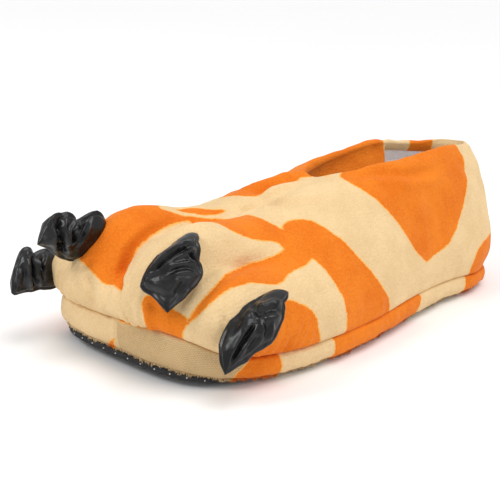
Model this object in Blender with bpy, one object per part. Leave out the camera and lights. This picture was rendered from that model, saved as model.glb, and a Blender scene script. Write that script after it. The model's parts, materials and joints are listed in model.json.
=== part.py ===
"""Plush animal-paw slipper for the left foot: outsole, plush-covered midsole, insole, one hollow
upper with four stuffed toes, and four stuffed claws. Metres, +Z up, toe towards -Y, heel towards
+Y; the wearer's left side is +X. The origin is on the floor under the middle of the sole."""

import bpy
import numpy as np

# Driving sizes of the shoe
SHOE_LENGTH = 0.290
BALL_WIDTH = 0.136
HEEL_WIDTH = 0.096
TOE_INSWING = 0.004
TOE_SKEW = 0.04
INSTEP_HEIGHT = 0.086

# The sole's outline: where it is widest, where the heel starts to round, how square the ends are
BALL_AT = 0.30
HEEL_ROUND_AT = 0.80
TOE_SQUARENESS = 3.5
HEEL_SQUARENESS = 2.25

# The sole from the floor up
OUTSOLE_THICK = 0.0022
MIDSOLE_HEIGHT = 0.0125
INSOLE_THICK = 0.004
INSOLE_EDGE_SLOPE = 0.0006
INSOLE_TOE_SLOPE = 0.006
TOE_SPRING = 0.0045
SPRING_REACH = 0.26
HEEL_LIFT = 0.002
HEEL_LIFT_REACH = 0.06
TOE_WRAP = 0.0027
TOE_WRAP_REACH = 0.15
OUTSOLE_INSET = 0.010
OUTSOLE_TOE_INSET = 0.003
OUTSOLE_EDGE_ROUND = 0.0015
GAP = 0.0003

# The upper
WALL = 0.005
SEAM_INSET = 0.003
TOE_BULGE = 0.012
SWELL_POWER = 0.55
ROLL = 0.066
COLLAR_LENGTH = 0.136
COLLAR_WIDTH = 0.054
COLLAR_AT = 0.724
COLLAR_HEIGHT = 0.088
TOE_VALLEY_DEPTH = 0.012
TOE_VALLEY_POWER = 2.1
TOE_VALLEY_SOFT = 0.025
TOE_FAN = 0.10
INSTEP_CREASE_DEPTH = 0.004
INSTEP_CREASE_WIDTH = 0.010

# The claws
CLAW_LENGTH = 0.036
CLAW_WIDTH = 0.030
CLAW_ROOT = 0.012
CLAW_WIDEST_AT = 0.20
CLAW_TAPER = 1.7

# How finely the solids are cut up
HALF_STATIONS = 40
UPPER_ROWS = 20
LINING_ROWS = 10
CLAW_SIDES = 16
CLAW_RINGS = 9
RIB_SAMPLES = 90

# Sections from toe to heel. along: share of the length. ridge: top height as a share of
# INSTEP_HEIGHT. roll: plan radius of the shoulder as a share of ROLL. bulge: how far the wall
# swells past the seam, as a share of TOE_BULGE.
SECTIONS = (
    # along, ridge, roll, bulge
    (-0.04, 0.87, 0.37, 1.00),
    (0.04, 0.885, 0.42, 1.00),
    (0.12, 0.855, 0.55, 1.00),
    (0.20, 0.81, 0.80, 0.75),
    (0.28, 0.80, 0.98, 0.50),
    (0.36, 0.85, 1.00, 0.38),
    (0.44, 0.91, 1.00, 0.32),
    (0.52, 0.96, 0.95, 0.32),
    (0.65, 1.02, 0.85, 0.36),
    (0.82, 1.04, 0.78, 0.55),
    (1.00, 1.00, 0.60, 0.85),
)

# The midsole from toe to heel. height: share of MIDSOLE_HEIGHT.
MIDSOLE_HEIGHTS = (
    # along, height
    (-0.04, 1.53),
    (0.00, 1.394),
    (0.08, 1.091),
    (0.16, 0.94),
    (0.32, 0.92),
    (0.55, 1.00),
    (0.72, 0.98),
    (0.88, 0.80),
    (1.00, 0.70),
)

# The band round the midsole from its lower edge up. level: share of its height. inset: how far
# it stays inside the sole's outline, as a share of SEAM_INSET.
BAND_PROFILE = (
    # level, inset
    (0.00, 1.60),
    (0.16, 0.55),
    (0.45, 0.00),
    (0.75, 0.10),
    (0.93, 0.50),
    (1.00, 1.00),
)

# The collar's rim from the throat to the back of the heel. turn: share of the half rim.
# near, far: heights on the two sides of the foot as shares of COLLAR_HEIGHT.
COLLAR_RIM = (
    # turn, near, far
    (0.00, 0.935, 0.935),
    (0.18, 0.955, 0.915),
    (0.40, 1.010, 0.955),
    (0.60, 1.035, 0.990),
    (0.82, 0.985, 0.950),
    (1.00, 0.930, 0.930),
)

# The valleys between the stuffed toes from the far side to the near side. across: plan place
# at the toe as a share of BALL_WIDTH. depth: share of TOE_VALLEY_DEPTH.
TOE_VALLEYS = (
    # across, depth
    (-0.31, 0.95),
    (-0.01, 1.00),
    (0.31, 0.95),
)

# The claws from the near side to the far side. arc: distance round the seam from the toe's tip
# as a share of BALL_WIDTH, near side positive. up: share of the rib from the seam to the collar.
# yaw: degrees from straight ahead, near side positive. droop: degrees below level. length,
# width: shares of CLAW_LENGTH and CLAW_WIDTH. dent: degrees round the claw where its skin has
# buckled.
CLAWS = (
    # name, arc, up, yaw, droop, length, width, dent
    ("claw_outer", 0.575, 0.15, 13.0, 16.0, 0.84, 0.93, 100.0),
    ("claw_outer_middle", 0.285, 0.26, 30.0, 12.0, 0.78, 0.97, 60.0),
    ("claw_inner_middle", -0.155, 0.24, 0.0, -20.0, 0.90, 0.94, 90.0),
    ("claw_inner", -0.40, 0.11, -2.0, -3.0, 0.76, 0.86, 80.0),
)
CLAW_DENT = 0.25
CLAW_DENT_AT = 0.40
CLAW_CURL = 0.28


def smoothstep(low, high, value):
    """0 below low, 1 above high, and a smooth rise between them."""
    share = np.clip((value - low) / (high - low), 0.0, 1.0)
    return share * share * (3.0 - 2.0 * share)


def smooth_table(rows, column, at):
    """Reads one column of a table at the given places, with a cubic through its rows."""
    table = np.array([[row[0], row[column]] for row in rows])
    x, v = table[:, 0], table[:, 1]
    slope = np.gradient(v, x)
    i = np.clip(np.searchsorted(x, at, side="right") - 1, 0, len(x) - 2)
    h = x[i + 1] - x[i]
    t = np.clip((at - x[i]) / h, 0.0, 1.0)
    return (
        (2 * t**3 - 3 * t**2 + 1) * v[i]
        + (t**3 - 2 * t**2 + t) * h * slope[i]
        + (3 * t**2 - 2 * t**3) * v[i + 1]
        + (t**3 - t**2) * h * slope[i + 1]
    )


def along(y):
    """Share of the shoe's length, 0 at the toe and 1 at the heel."""
    return y / SHOE_LENGTH + 0.5


def dense_half_outline(count=400):
    """The near half of the outline: a squared ellipse at the toe, a smooth waist and a squared
    ellipse at the heel. Columns are half-width and y."""
    y_ball = (BALL_AT - 0.5) * SHOE_LENGTH
    y_round = (HEEL_ROUND_AT - 0.5) * SHOE_LENGTH
    quarter = np.linspace(0.0, np.pi / 2, count)
    toe = np.column_stack((
        BALL_WIDTH / 2 * np.sin(quarter) ** (2 / TOE_SQUARENESS),
        y_ball - (y_ball + SHOE_LENGTH / 2) * np.cos(quarter) ** (2 / TOE_SQUARENESS),
    ))
    share = np.linspace(0.0, 1.0, count)[1:-1]
    waist = np.column_stack((
        BALL_WIDTH / 2 + (HEEL_WIDTH - BALL_WIDTH) / 2 * smoothstep(0.0, 1.0, share),
        y_ball + (y_round - y_ball) * share,
    ))
    heel = np.column_stack((
        HEEL_WIDTH / 2 * np.cos(quarter) ** (2 / HEEL_SQUARENESS),
        y_round + (SHOE_LENGTH / 2 - y_round) * np.sin(quarter) ** (2 / HEEL_SQUARENESS),
    ))
    return np.vstack((toe, waist, heel))


def stations():
    """Where the outline's points sit, as shares of the half outline's length: closer together
    round the toes than along the side."""
    step = np.linspace(0.0, 1.0, HALF_STATIONS + 1)
    return step - 0.10 * np.sin(np.pi * step)


def outline(inset):
    """One closed ring of plan points, its outward plan normals and each point's arc from the toe
    tip. inset, one value or one for each station, draws the ring inside the outline."""
    dense = dense_half_outline()
    length = np.concatenate(([0.0], np.cumsum(np.hypot(*np.diff(dense, axis=0).T))))
    tangent = np.gradient(dense, length, axis=0)
    tangent /= np.linalg.norm(tangent, axis=1)[:, None]
    tangent[0], tangent[-1] = (1.0, 0.0), (-1.0, 0.0)
    arc = stations() * length[-1]
    width = np.interp(arc, length, dense[:, 0])
    y = np.interp(arc, length, dense[:, 1])
    normal = np.column_stack((
        np.interp(arc, length, tangent[:, 1]),
        -np.interp(arc, length, tangent[:, 0]),
    ))
    normal /= np.linalg.norm(normal, axis=1)[:, None]
    inset = np.broadcast_to(inset, arc.shape)
    half = np.column_stack((width, y)) - normal * inset[:, None]
    far = slice(HALF_STATIONS - 1, 0, -1)
    flip = np.array((-1.0, 1.0))
    ring = np.vstack((half, half[far] * flip))
    ring[:, 0] -= TOE_INSWING * np.clip(1.0 - along(ring[:, 1]) / 0.5, 0.0, 1.5) ** 2
    ring[:, 1] += TOE_SKEW * ring[:, 0] * np.clip(1.0 - along(ring[:, 1]) / 0.4, 0.0, 1.0)
    return ring, np.vstack((normal, normal[far] * flip)), np.concatenate((arc, -arc[far]))


def floor_line(share):
    """Height of the sole's underside: flat, with a sprung toe and a slightly rounded heel."""
    toe = np.clip(1.0 - share / SPRING_REACH, 0.0, 1.3) ** 2
    heel = np.clip((share - 1.0 + HEEL_LIFT_REACH) / HEEL_LIFT_REACH, 0.0, 1.0) ** 2
    return TOE_SPRING * toe + HEEL_LIFT * heel


def outsole_top(share):
    """Height of the joint between outsole and midsole; the outsole curls up round the toe."""
    wrap = np.clip(1.0 - share / TOE_WRAP_REACH, 0.0, 1.3) ** 2
    return floor_line(share) + OUTSOLE_THICK + TOE_WRAP * wrap


def seam_height(share):
    """Height of the midsole's top face, where the upper is sewn on."""
    return outsole_top(share) + MIDSOLE_HEIGHT * smooth_table(MIDSOLE_HEIGHTS, 1, share)


def raised(ring, height):
    """A plan ring lifted to the heights given by a function of the share of the length."""
    return np.column_stack((ring, height(along(ring[:, 1]))))


def new_object(name, vertices, faces, material):
    """A mesh object from its points and faces, smooth except at sharp edges."""
    mesh = bpy.data.meshes.new(name)
    mesh.from_pydata([tuple(v) for v in vertices], [], faces)
    mesh.shade_smooth()
    mesh.set_sharp_from_angle(angle=np.radians(40.0))
    mesh.materials.append(material)
    obj = bpy.data.objects.new(name, mesh)
    bpy.context.scene.collection.objects.link(obj)
    return obj


def wall_faces(rows, count):
    """Quads between each ring of count points and the next."""
    return [
        (j * count + k, j * count + (k + 1) % count, (j + 1) * count + (k + 1) % count, (j + 1) * count + k)
        for j in range(rows - 1)
        for k in range(count)
    ]


def rung_cap(first, count, upwards):
    """Faces across a ring whose near and far points pair up into straight rungs."""
    half = count // 2
    faces = [(0, 1, count - 1)]
    faces += [(k, k + 1, count - k - 1, count - k) for k in range(1, half - 1)]
    faces.append((half - 1, half, half + 1))
    faces = [tuple(first + i for i in face) for face in faces]
    return faces if upwards else [face[::-1] for face in faces]


def slab(name, rings, material):
    """A solid lofted up through rings, closed above and below by rungs."""
    count = len(rings[0])
    faces = wall_faces(len(rings), count)
    faces += rung_cap(0, count, upwards=False)
    faces += rung_cap((len(rings) - 1) * count, count, upwards=True)
    return new_object(name, np.vstack(rings), faces, material)


def sole_inset(share):
    """How far the outsole's edge stays inside the sole's outline."""
    back = smoothstep(0.02, 0.20, share)
    return OUTSOLE_TOE_INSET + (OUTSOLE_INSET - OUTSOLE_TOE_INSET) * back


def half_shares():
    """Share of the shoe's length at each station of the half outline."""
    ring, _, _ = outline(0.0)
    return along(ring[: HALF_STATIONS + 1, 1])


def make_outsole(material):
    """The dotted black sheet under the shoe, curled up a little round the toe."""
    edge = sole_inset(half_shares())
    under, _, _ = outline(edge + OUTSOLE_EDGE_ROUND)
    side, _, _ = outline(edge)
    lower = raised(under, floor_line)
    middle = raised(side, lambda s: 0.6 * floor_line(s) + 0.4 * outsole_top(s))
    top = raised(side, outsole_top)
    return slab("outsole", [lower, middle, top], material)


def make_midsole(material):
    """The foam slab in its plush cover, whose side shows as the band under the upper."""
    rings = []
    for level, inset in BAND_PROFILE:
        ring, _, _ = outline(inset * SEAM_INSET)
        rings.append(raised(
            ring,
            lambda s, level=level: (outsole_top(s) + GAP) * (1 - level) + seam_height(s) * level,
        ))
    return slab("midsole", rings, material)


def make_insole(material):
    """The fleece-covered insole, a running fit inside the upper's wall."""
    edge = SEAM_INSET + WALL + GAP
    slope = INSOLE_EDGE_SLOPE + INSOLE_TOE_SLOPE * (1.0 - smoothstep(0.05, 0.30, half_shares()))
    wide, _, _ = outline(edge)
    middle, _, _ = outline(edge + 0.6 * slope)
    top, _, _ = outline(edge + slope + INSOLE_EDGE_SLOPE)
    rings = [
        raised(wide, lambda s: seam_height(s) + GAP),
        raised(middle, lambda s: seam_height(s) + 0.7 * INSOLE_THICK),
        raised(top, lambda s: seam_height(s) + INSOLE_THICK),
    ]
    return slab("insole", rings, material)


def collar_turn(arc):
    """Share of the half rim that each rib runs to. Toe ribs gather at the throat."""
    reach = np.abs(arc) / np.abs(arc).max()
    return 0.55 * reach + 0.45 * reach**3


def collar_rim(arc):
    """Plan points and heights of the collar's rim, one for each rib."""
    turn = collar_turn(arc)
    y_middle = (COLLAR_AT - 0.5) * SHOE_LENGTH
    x = np.sign(arc) * COLLAR_WIDTH / 2 * np.sin(np.pi * turn) ** 0.8
    y = y_middle - COLLAR_LENGTH / 2 * np.cos(np.pi * turn)
    near = smooth_table(COLLAR_RIM, 1, turn)
    far = smooth_table(COLLAR_RIM, 2, turn)
    return np.column_stack((x, y)), COLLAR_HEIGHT * np.where(arc > 0.0, near, far)


def distance_inside(plan, ring):
    """Shortest plan distance from each point to a closed ring of straight edges."""
    edge = np.roll(ring, -1, axis=0) - ring
    offset = plan[..., None, :] - ring
    share = np.clip((offset * edge).sum(axis=-1) / (edge**2).sum(axis=-1), 0.0, 1.0)
    return np.linalg.norm(offset - share[..., None] * edge, axis=-1).min(axis=-1)


def rib_points():
    """The upper's smooth form before its toes are pulled in. Each rib runs in plan from the seam
    to the collar; its height is a quarter ellipse of the distance from the seam, under the ridge
    height of its section. Axes: rib sample, rib, x y z."""
    foot, normal, arc = outline(SEAM_INSET)
    rim, rim_height = collar_rim(arc)
    base = seam_height(along(foot[:, 1])) + GAP
    t = np.linspace(0.0, 1.0, RIB_SAMPLES)[:, None]
    plan = foot + (rim - foot) * (t**2)[:, :, None]
    share = along(plan[:, :, 1])
    roll = ROLL * smooth_table(SECTIONS, 2, share)
    inside = distance_inside(plan, foot)
    rise = np.sqrt(1.0 - np.clip(1.0 - inside / roll, 0.0, 1.0) ** 2)
    ridge = INSTEP_HEIGHT * smooth_table(SECTIONS, 1, share)
    height = base + (ridge - base) * rise
    height = height + (rim_height - height[-1]) * smoothstep(0.35, 1.0, t)
    bulge = TOE_BULGE * smooth_table(SECTIONS, 3, along(foot[:, 1]))
    swell = bulge * np.sin(np.pi * rise**SWELL_POWER)
    plan = plan + normal * swell[:, :, None]
    return np.dstack((plan, height)), arc


def even_rows(ribs, rows):
    """Each rib cut into equal steps of its own length."""
    step = np.linalg.norm(np.diff(ribs, axis=0), axis=2)
    length = np.concatenate((np.zeros((1, ribs.shape[1])), np.cumsum(step, axis=0)))
    share = length / length[-1]
    even = np.linspace(0.0, 1.0, rows + 1)
    grid = np.empty((rows + 1, ribs.shape[1], 3))
    for rib in range(ribs.shape[1]):
        for axis in range(3):
            grid[:, rib, axis] = np.interp(even, share[:, rib], ribs[:, rib, axis])
    return grid


def grid_normals(grid):
    """Outward unit normals of a grid whose rows are closed rings."""
    round_way = np.roll(grid, -1, axis=1) - np.roll(grid, 1, axis=1)
    up_way = np.gradient(grid, axis=0)
    normal = np.cross(round_way, up_way)
    return normal / np.linalg.norm(normal, axis=2)[:, :, None]


def relaxed(grid, passes):
    """The grid with each point drawn towards its neighbours, its first and last rows kept."""
    for _ in range(passes):
        beside = (np.roll(grid, 1, axis=1) + np.roll(grid, -1, axis=1)) / 4
        above = (grid[2:] + grid[:-2]) / 4
        grid = np.concatenate((grid[:1], (grid[1:-1] + beside[1:-1] + above) / 2, grid[-1:]))
    return grid


def toe_window(grid):
    """1 over the toes, fading out at the seam and back over the instep."""
    rows = np.linspace(0.0, 1.0, len(grid))[:, None]
    return smoothstep(0.0, 0.20, rows) * (1.0 - smoothstep(0.14, 0.36, along(grid[:, :, 1])))


def valley_depth(grid):
    """How deep the skin is drawn in between the stuffed toes: 0 on each toe's crest."""
    spread = 1.0 + TOE_FAN * np.clip(along(grid[:, :, 1]) / 0.3, 0.0, 1.0)
    across = grid[:, :, 0] / spread / BALL_WIDTH
    drawn = np.zeros(across.shape)
    places = [row[0] for row in TOE_VALLEYS]
    for i, (place, depth) in enumerate(TOE_VALLEYS):
        to_left = (place - places[i - 1]) / 2 if i > 0 else 0.15
        to_right = (places[i + 1] - place) / 2 if i + 1 < len(places) else 0.15
        reach = np.where(across < place, to_left, to_right)
        away = np.hypot(across - place, TOE_VALLEY_SOFT) - TOE_VALLEY_SOFT
        near = np.clip(1.0 - away / reach, 0.0, 1.0)
        drawn += depth * near**TOE_VALLEY_POWER
    return TOE_VALLEY_DEPTH * drawn


def instep_crease(grid):
    """The tuck down the middle of the instep, from the collar's throat towards the toes."""
    share = along(grid[:, :, 1])
    throat = COLLAR_AT - COLLAR_LENGTH / SHOE_LENGTH / 2
    reach = smoothstep(0.24, 0.36, share) * (1.0 - smoothstep(throat - 0.02, throat + 0.06, share))
    middle = np.exp(-((grid[:, :, 0] / INSTEP_CREASE_WIDTH) ** 2))
    return INSTEP_CREASE_DEPTH * reach * middle


def upper_grids():
    """Grids of the upper's outer skin and its inner skin, seam to collar. The toes are stuffed,
    so there the wall is as thick as the valleys are deep."""
    ribs, _ = rib_points()
    smooth = relaxed(even_rows(ribs, UPPER_ROWS), 2)
    normal = grid_normals(relaxed(smooth, 6))
    crease = instep_crease(smooth)
    window = toe_window(smooth)
    outer = smooth - normal * (window * valley_depth(smooth) + crease)[:, :, None]
    _, plan_normal, _ = outline(SEAM_INSET)
    wall_normal = normal.copy()
    wall_normal[0] = np.column_stack((plan_normal, np.zeros(len(plan_normal))))
    thick = WALL + crease + window * TOE_VALLEY_DEPTH
    inner = smooth - wall_normal * thick[:, :, None]
    lining_at = np.linspace(0, UPPER_ROWS, LINING_ROWS + 1).round().astype(int)
    return relaxed(outer, 1), inner[lining_at]


def make_upper(outer, inner, material):
    """The hollow upper: outer skin, turned collar edge, inner skin and the sewn lower edge."""
    top = outer[-1] - outer[-2]
    top /= np.linalg.norm(top, axis=1)[:, None]
    edge = (outer[-1] + inner[-1]) / 2 + top * WALL * 0.4
    rows = np.concatenate((outer, edge[None], inner[::-1]))
    count = rows.shape[1]
    total = rows.shape[0]
    faces = wall_faces(total, count)
    last = (total - 1) * count
    faces += [(last + k, last + (k + 1) % count, (k + 1) % count, k) for k in range(count)]
    return new_object("upper", rows.reshape(-1, 3), faces, material)


def make_seat_cutter(outer):
    """The upper's outer form filled in and grown by the seat gap, which shapes the claws' roots."""
    grown = outer + grid_normals(outer) * GAP * 1.5
    count = outer.shape[1]
    rows = outer.shape[0]
    points = np.vstack((
        grown.reshape(-1, 3),
        grown[0].mean(axis=0),
        grown[-1].mean(axis=0),
    ))
    faces = wall_faces(rows, count)
    below, above = rows * count, rows * count + 1
    last = (rows - 1) * count
    faces += [(below, (k + 1) % count, k) for k in range(count)]
    faces += [(above, last + k, last + (k + 1) % count) for k in range(count)]
    mesh = bpy.data.meshes.new("seat_cutter")
    mesh.from_pydata([tuple(p) for p in points], [], faces)
    cutter = bpy.data.objects.new("seat_cutter", mesh)
    cutter.hide_render = True
    cutter.display_type = "WIRE"
    bpy.context.scene.collection.objects.link(cutter)
    return cutter


def point_on(grid, arc, rib_arc, up):
    """A point of a grid at an arc round the seam and a share of the rib above it."""
    order = np.argsort(arc)
    row = up * (len(grid) - 1)
    low = int(row)
    ring = grid[low] * (low + 1 - row) + grid[low + 1] * (row - low)
    return np.array([np.interp(rib_arc, arc[order], ring[order, axis]) for axis in range(3)])


def claw_frame(yaw, droop):
    """Unit vectors of a claw: its axis, its side and its top."""
    yaw, droop = np.radians((yaw, droop))
    axis = np.array((np.sin(yaw) * np.cos(droop), -np.cos(yaw) * np.cos(droop), -np.sin(droop)))
    side = np.cross(axis, (0.0, 0.0, 1.0))
    side /= np.linalg.norm(side)
    return axis, side, np.cross(side, axis)


def make_claw(name, root, yaw, droop, length, width, dent, cutter, material):
    """A stuffed two-panel claw: a drop of lens-shaped sections that curls down to its tip, with
    one buckle in its skin, cut to sit on the toe."""
    axis, side, top = claw_frame(yaw, droop)
    turn = np.linspace(0.0, 2 * np.pi, CLAW_SIDES, endpoint=False)
    back = CLAW_ROOT / length
    step = np.linspace(0.0, 1.0, CLAW_RINGS + 2)[1:-1]
    step = step - 0.09 * np.sin(2 * np.pi * step)
    rings = []
    for share in -back + (1.0 + back) * step:
        behind = np.clip((CLAW_WIDEST_AT - share) / (CLAW_WIDEST_AT + back), 0.0, 1.0)
        ahead = np.clip((share - CLAW_WIDEST_AT) / (1.0 - CLAW_WIDEST_AT), 0.0, 1.0)
        taper = np.sqrt(1.0 - behind**2) * (1.0 - ahead**CLAW_TAPER)
        lens = 1.0 - 0.16 * np.abs(np.sin(turn)) ** 1.5
        facing = np.clip(np.cos(turn - np.radians(dent)), 0.0, 1.0) ** 2
        buckle = 1.0 - CLAW_DENT * facing * np.exp(-(((share - CLAW_DENT_AT) / 0.16) ** 2))
        radius = width / 2 * taper * lens * buckle
        centre = root + axis * share * length - top * CLAW_CURL * length * max(share, 0.0) ** 2
        rings.append(
            centre
            + np.outer(radius * np.cos(turn), side)
            + np.outer(radius * np.sin(turn), top)
        )
    tip = root + axis * length - top * CLAW_CURL * length
    points = np.vstack((*rings, root - axis * CLAW_ROOT, tip))
    pole, front = CLAW_RINGS * CLAW_SIDES, CLAW_RINGS * CLAW_SIDES + 1
    last = (CLAW_RINGS - 1) * CLAW_SIDES
    faces = wall_faces(CLAW_RINGS, CLAW_SIDES)
    faces += [(pole, (k + 1) % CLAW_SIDES, k) for k in range(CLAW_SIDES)]
    faces += [(front, last + k, last + (k + 1) % CLAW_SIDES) for k in range(CLAW_SIDES)]
    claw = new_object(name, points, faces, material)
    seat = claw.modifiers.new("seat", "BOOLEAN")
    seat.operation = "DIFFERENCE"
    seat.solver = "EXACT"
    seat.object = cutter
    return claw


def make_material(name, colour, roughness):
    """A plain Principled material."""
    material = bpy.data.materials.new(name)
    material.use_nodes = True
    shader = material.node_tree.nodes["Principled BSDF"]
    shader.inputs["Base Color"].default_value = (*colour, 1.0)
    shader.inputs["Roughness"].default_value = roughness
    shader.inputs["Metallic"].default_value = 0.0
    return material


def main():
    for obj in list(bpy.data.objects):
        bpy.data.objects.remove(obj)
    cream_plush = make_material("cream_plush", (0.87, 0.66, 0.35), 0.9)
    orange_plush = make_material("orange_plush", (0.93, 0.30, 0.03), 0.9)
    dotted_sole = make_material("dotted_sole", (0.03, 0.03, 0.032), 0.8)
    white_fleece = make_material("white_fleece", (0.88, 0.86, 0.86), 0.95)
    black_vinyl = make_material("black_vinyl", (0.012, 0.012, 0.014), 0.28)

    make_outsole(dotted_sole)
    make_midsole(cream_plush)
    make_insole(white_fleece)
    outer, inner = upper_grids()
    make_upper(outer, inner, orange_plush)
    cutter = make_seat_cutter(outer)
    _, _, arc = outline(SEAM_INSET)
    for name, claw_arc, up, yaw, droop, length, width, dent in CLAWS:
        root = point_on(outer, arc, claw_arc * BALL_WIDTH, up)
        make_claw(
            name, root, yaw, droop, length * CLAW_LENGTH, width * CLAW_WIDTH, dent, cutter, black_vinyl
        )


main()
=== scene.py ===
# %% [markdown]
# # A plush animal-paw slipper
# One left slipper: a dotted non-slip sole, a plush-covered platform, a fleece insole, a hollow
# plush upper with four stuffed toes, and four crumpled vinyl claws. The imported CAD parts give
# the exact frame, and this lesson dresses them in soft goods that keep to their places.

# %% Load the frame
import json
import bpy
import numpy as np
from mathutils import Matrix

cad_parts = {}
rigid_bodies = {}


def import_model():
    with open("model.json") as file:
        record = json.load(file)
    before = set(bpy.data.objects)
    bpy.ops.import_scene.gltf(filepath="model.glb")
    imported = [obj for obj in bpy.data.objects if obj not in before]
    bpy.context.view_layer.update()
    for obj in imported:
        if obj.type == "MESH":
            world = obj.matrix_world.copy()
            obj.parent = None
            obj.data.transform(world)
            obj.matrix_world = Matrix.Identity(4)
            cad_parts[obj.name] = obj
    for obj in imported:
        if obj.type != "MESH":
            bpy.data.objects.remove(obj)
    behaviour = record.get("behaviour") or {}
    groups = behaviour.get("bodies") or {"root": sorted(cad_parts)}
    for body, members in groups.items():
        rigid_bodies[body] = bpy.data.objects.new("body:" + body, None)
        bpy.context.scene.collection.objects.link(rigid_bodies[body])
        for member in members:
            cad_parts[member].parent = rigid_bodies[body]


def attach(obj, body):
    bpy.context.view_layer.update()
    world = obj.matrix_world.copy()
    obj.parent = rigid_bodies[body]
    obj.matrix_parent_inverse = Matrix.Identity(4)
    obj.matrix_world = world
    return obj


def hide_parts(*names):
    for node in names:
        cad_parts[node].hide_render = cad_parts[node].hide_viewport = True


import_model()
for left_over in [obj for obj in bpy.data.objects if obj.name in ("Cube", "Light", "Camera")]:
    bpy.data.objects.remove(left_over)
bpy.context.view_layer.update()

# %% [markdown]
# The sizes of the shoe come first, because every soft piece is worked out from the same outline
# and the same sections as the solids. Keeping them as named real sizes means that the plush can
# be made finer than the solids without drifting away from them.

# %% The shoe's sizes in metres
SHOE_LENGTH = 0.290
BALL_WIDTH = 0.136
HEEL_WIDTH = 0.096
TOE_INSWING = 0.004
TOE_SKEW = 0.04
INSTEP_HEIGHT = 0.086
BALL_AT = 0.30
HEEL_ROUND_AT = 0.80
TOE_SQUARENESS = 3.5
HEEL_SQUARENESS = 2.25
OUTSOLE_THICK = 0.0022
MIDSOLE_HEIGHT = 0.0125
INSOLE_THICK = 0.004
TOE_SPRING = 0.0045
SPRING_REACH = 0.26
HEEL_LIFT = 0.002
HEEL_LIFT_REACH = 0.06
TOE_WRAP = 0.0027
TOE_WRAP_REACH = 0.15
OUTSOLE_INSET = 0.010
OUTSOLE_TOE_INSET = 0.003
OUTSOLE_EDGE_ROUND = 0.0015
GAP = 0.0003
WALL = 0.005
SEAM_INSET = 0.003
TOE_BULGE = 0.012
SWELL_POWER = 0.55
ROLL = 0.066
COLLAR_LENGTH = 0.136
COLLAR_WIDTH = 0.054
COLLAR_AT = 0.724
COLLAR_HEIGHT = 0.088
TOE_VALLEY_DEPTH = 0.012
TOE_VALLEY_POWER = 2.1
TOE_VALLEY_SOFT = 0.012
TOE_FAN = 0.10
INSTEP_CREASE_DEPTH = 0.004
INSTEP_CREASE_WIDTH = 0.010

# %% How the shoe's sections change from toe to heel
# Each row: share of the length, then shares of the ridge height, shoulder roll and wall bulge.
SECTIONS = (
    (-0.04, 0.87, 0.37, 1.00),
    (0.04, 0.885, 0.42, 1.00),
    (0.12, 0.855, 0.55, 1.00),
    (0.20, 0.81, 0.80, 0.75),
    (0.28, 0.80, 0.98, 0.50),
    (0.36, 0.85, 1.00, 0.38),
    (0.44, 0.91, 1.00, 0.32),
    (0.52, 0.96, 0.95, 0.32),
    (0.65, 1.02, 0.85, 0.36),
    (0.82, 1.04, 0.78, 0.55),
    (1.00, 1.00, 0.60, 0.85),
)
# Each row: share of the length, share of the platform's height.
MIDSOLE_HEIGHTS = (
    (-0.04, 1.53),
    (0.00, 1.394),
    (0.08, 1.091),
    (0.16, 0.94),
    (0.32, 0.92),
    (0.55, 1.00),
    (0.72, 0.98),
    (0.88, 0.80),
    (1.00, 0.70),
)
# Each row: share of the half rim, then the near and far heights as shares of COLLAR_HEIGHT.
COLLAR_RIM = (
    (0.00, 0.935, 0.935),
    (0.18, 0.955, 0.915),
    (0.40, 1.010, 0.955),
    (0.60, 1.035, 0.990),
    (0.82, 0.985, 0.950),
    (1.00, 0.930, 0.930),
)
# Each row: plan place of a valley as a share of BALL_WIDTH, share of TOE_VALLEY_DEPTH.
TOE_VALLEYS = (
    (-0.31, 0.95),
    (-0.01, 1.00),
    (0.31, 0.95),
)


# %% [markdown]
# A slipper's shape is easiest to think of as one outline on the floor and a family of sections.
# The outline is a squared ellipse at each end with a smooth waist between them, so a few real
# sizes move the whole shoe.

# %% Helpers for smooth changes
def unit(vectors):
    """The same directions with a length of one."""
    return vectors / np.linalg.norm(vectors, axis=-1, keepdims=True)


def smoothstep(low, high, value):
    """0 below low, 1 above high, and 3t squared minus 2t cubed between them."""
    share = np.clip((value - low) / (high - low), 0.0, 1.0)
    return share * share * (3.0 - 2.0 * share)


def smooth_table(rows, column, at):
    """One column of a table at the given places: a cubic through the rows with the table's own
    slopes (Hermite form)."""
    table = np.array([[row[0], row[column]] for row in rows])
    x, v = table[:, 0], table[:, 1]
    slope = np.gradient(v, x)
    i = np.clip(np.searchsorted(x, at, side="right") - 1, 0, len(x) - 2)
    h = x[i + 1] - x[i]
    t = np.clip((at - x[i]) / h, 0.0, 1.0)
    return (
        (2 * t**3 - 3 * t**2 + 1) * v[i]
        + (t**3 - 2 * t**2 + t) * h * slope[i]
        + (3 * t**2 - 2 * t**3) * v[i + 1]
        + (t**3 - t**2) * h * slope[i + 1]
    )


def along(y):
    """Share of the shoe's length, 0 at the toe and 1 at the heel."""
    return y / SHOE_LENGTH + 0.5


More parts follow.
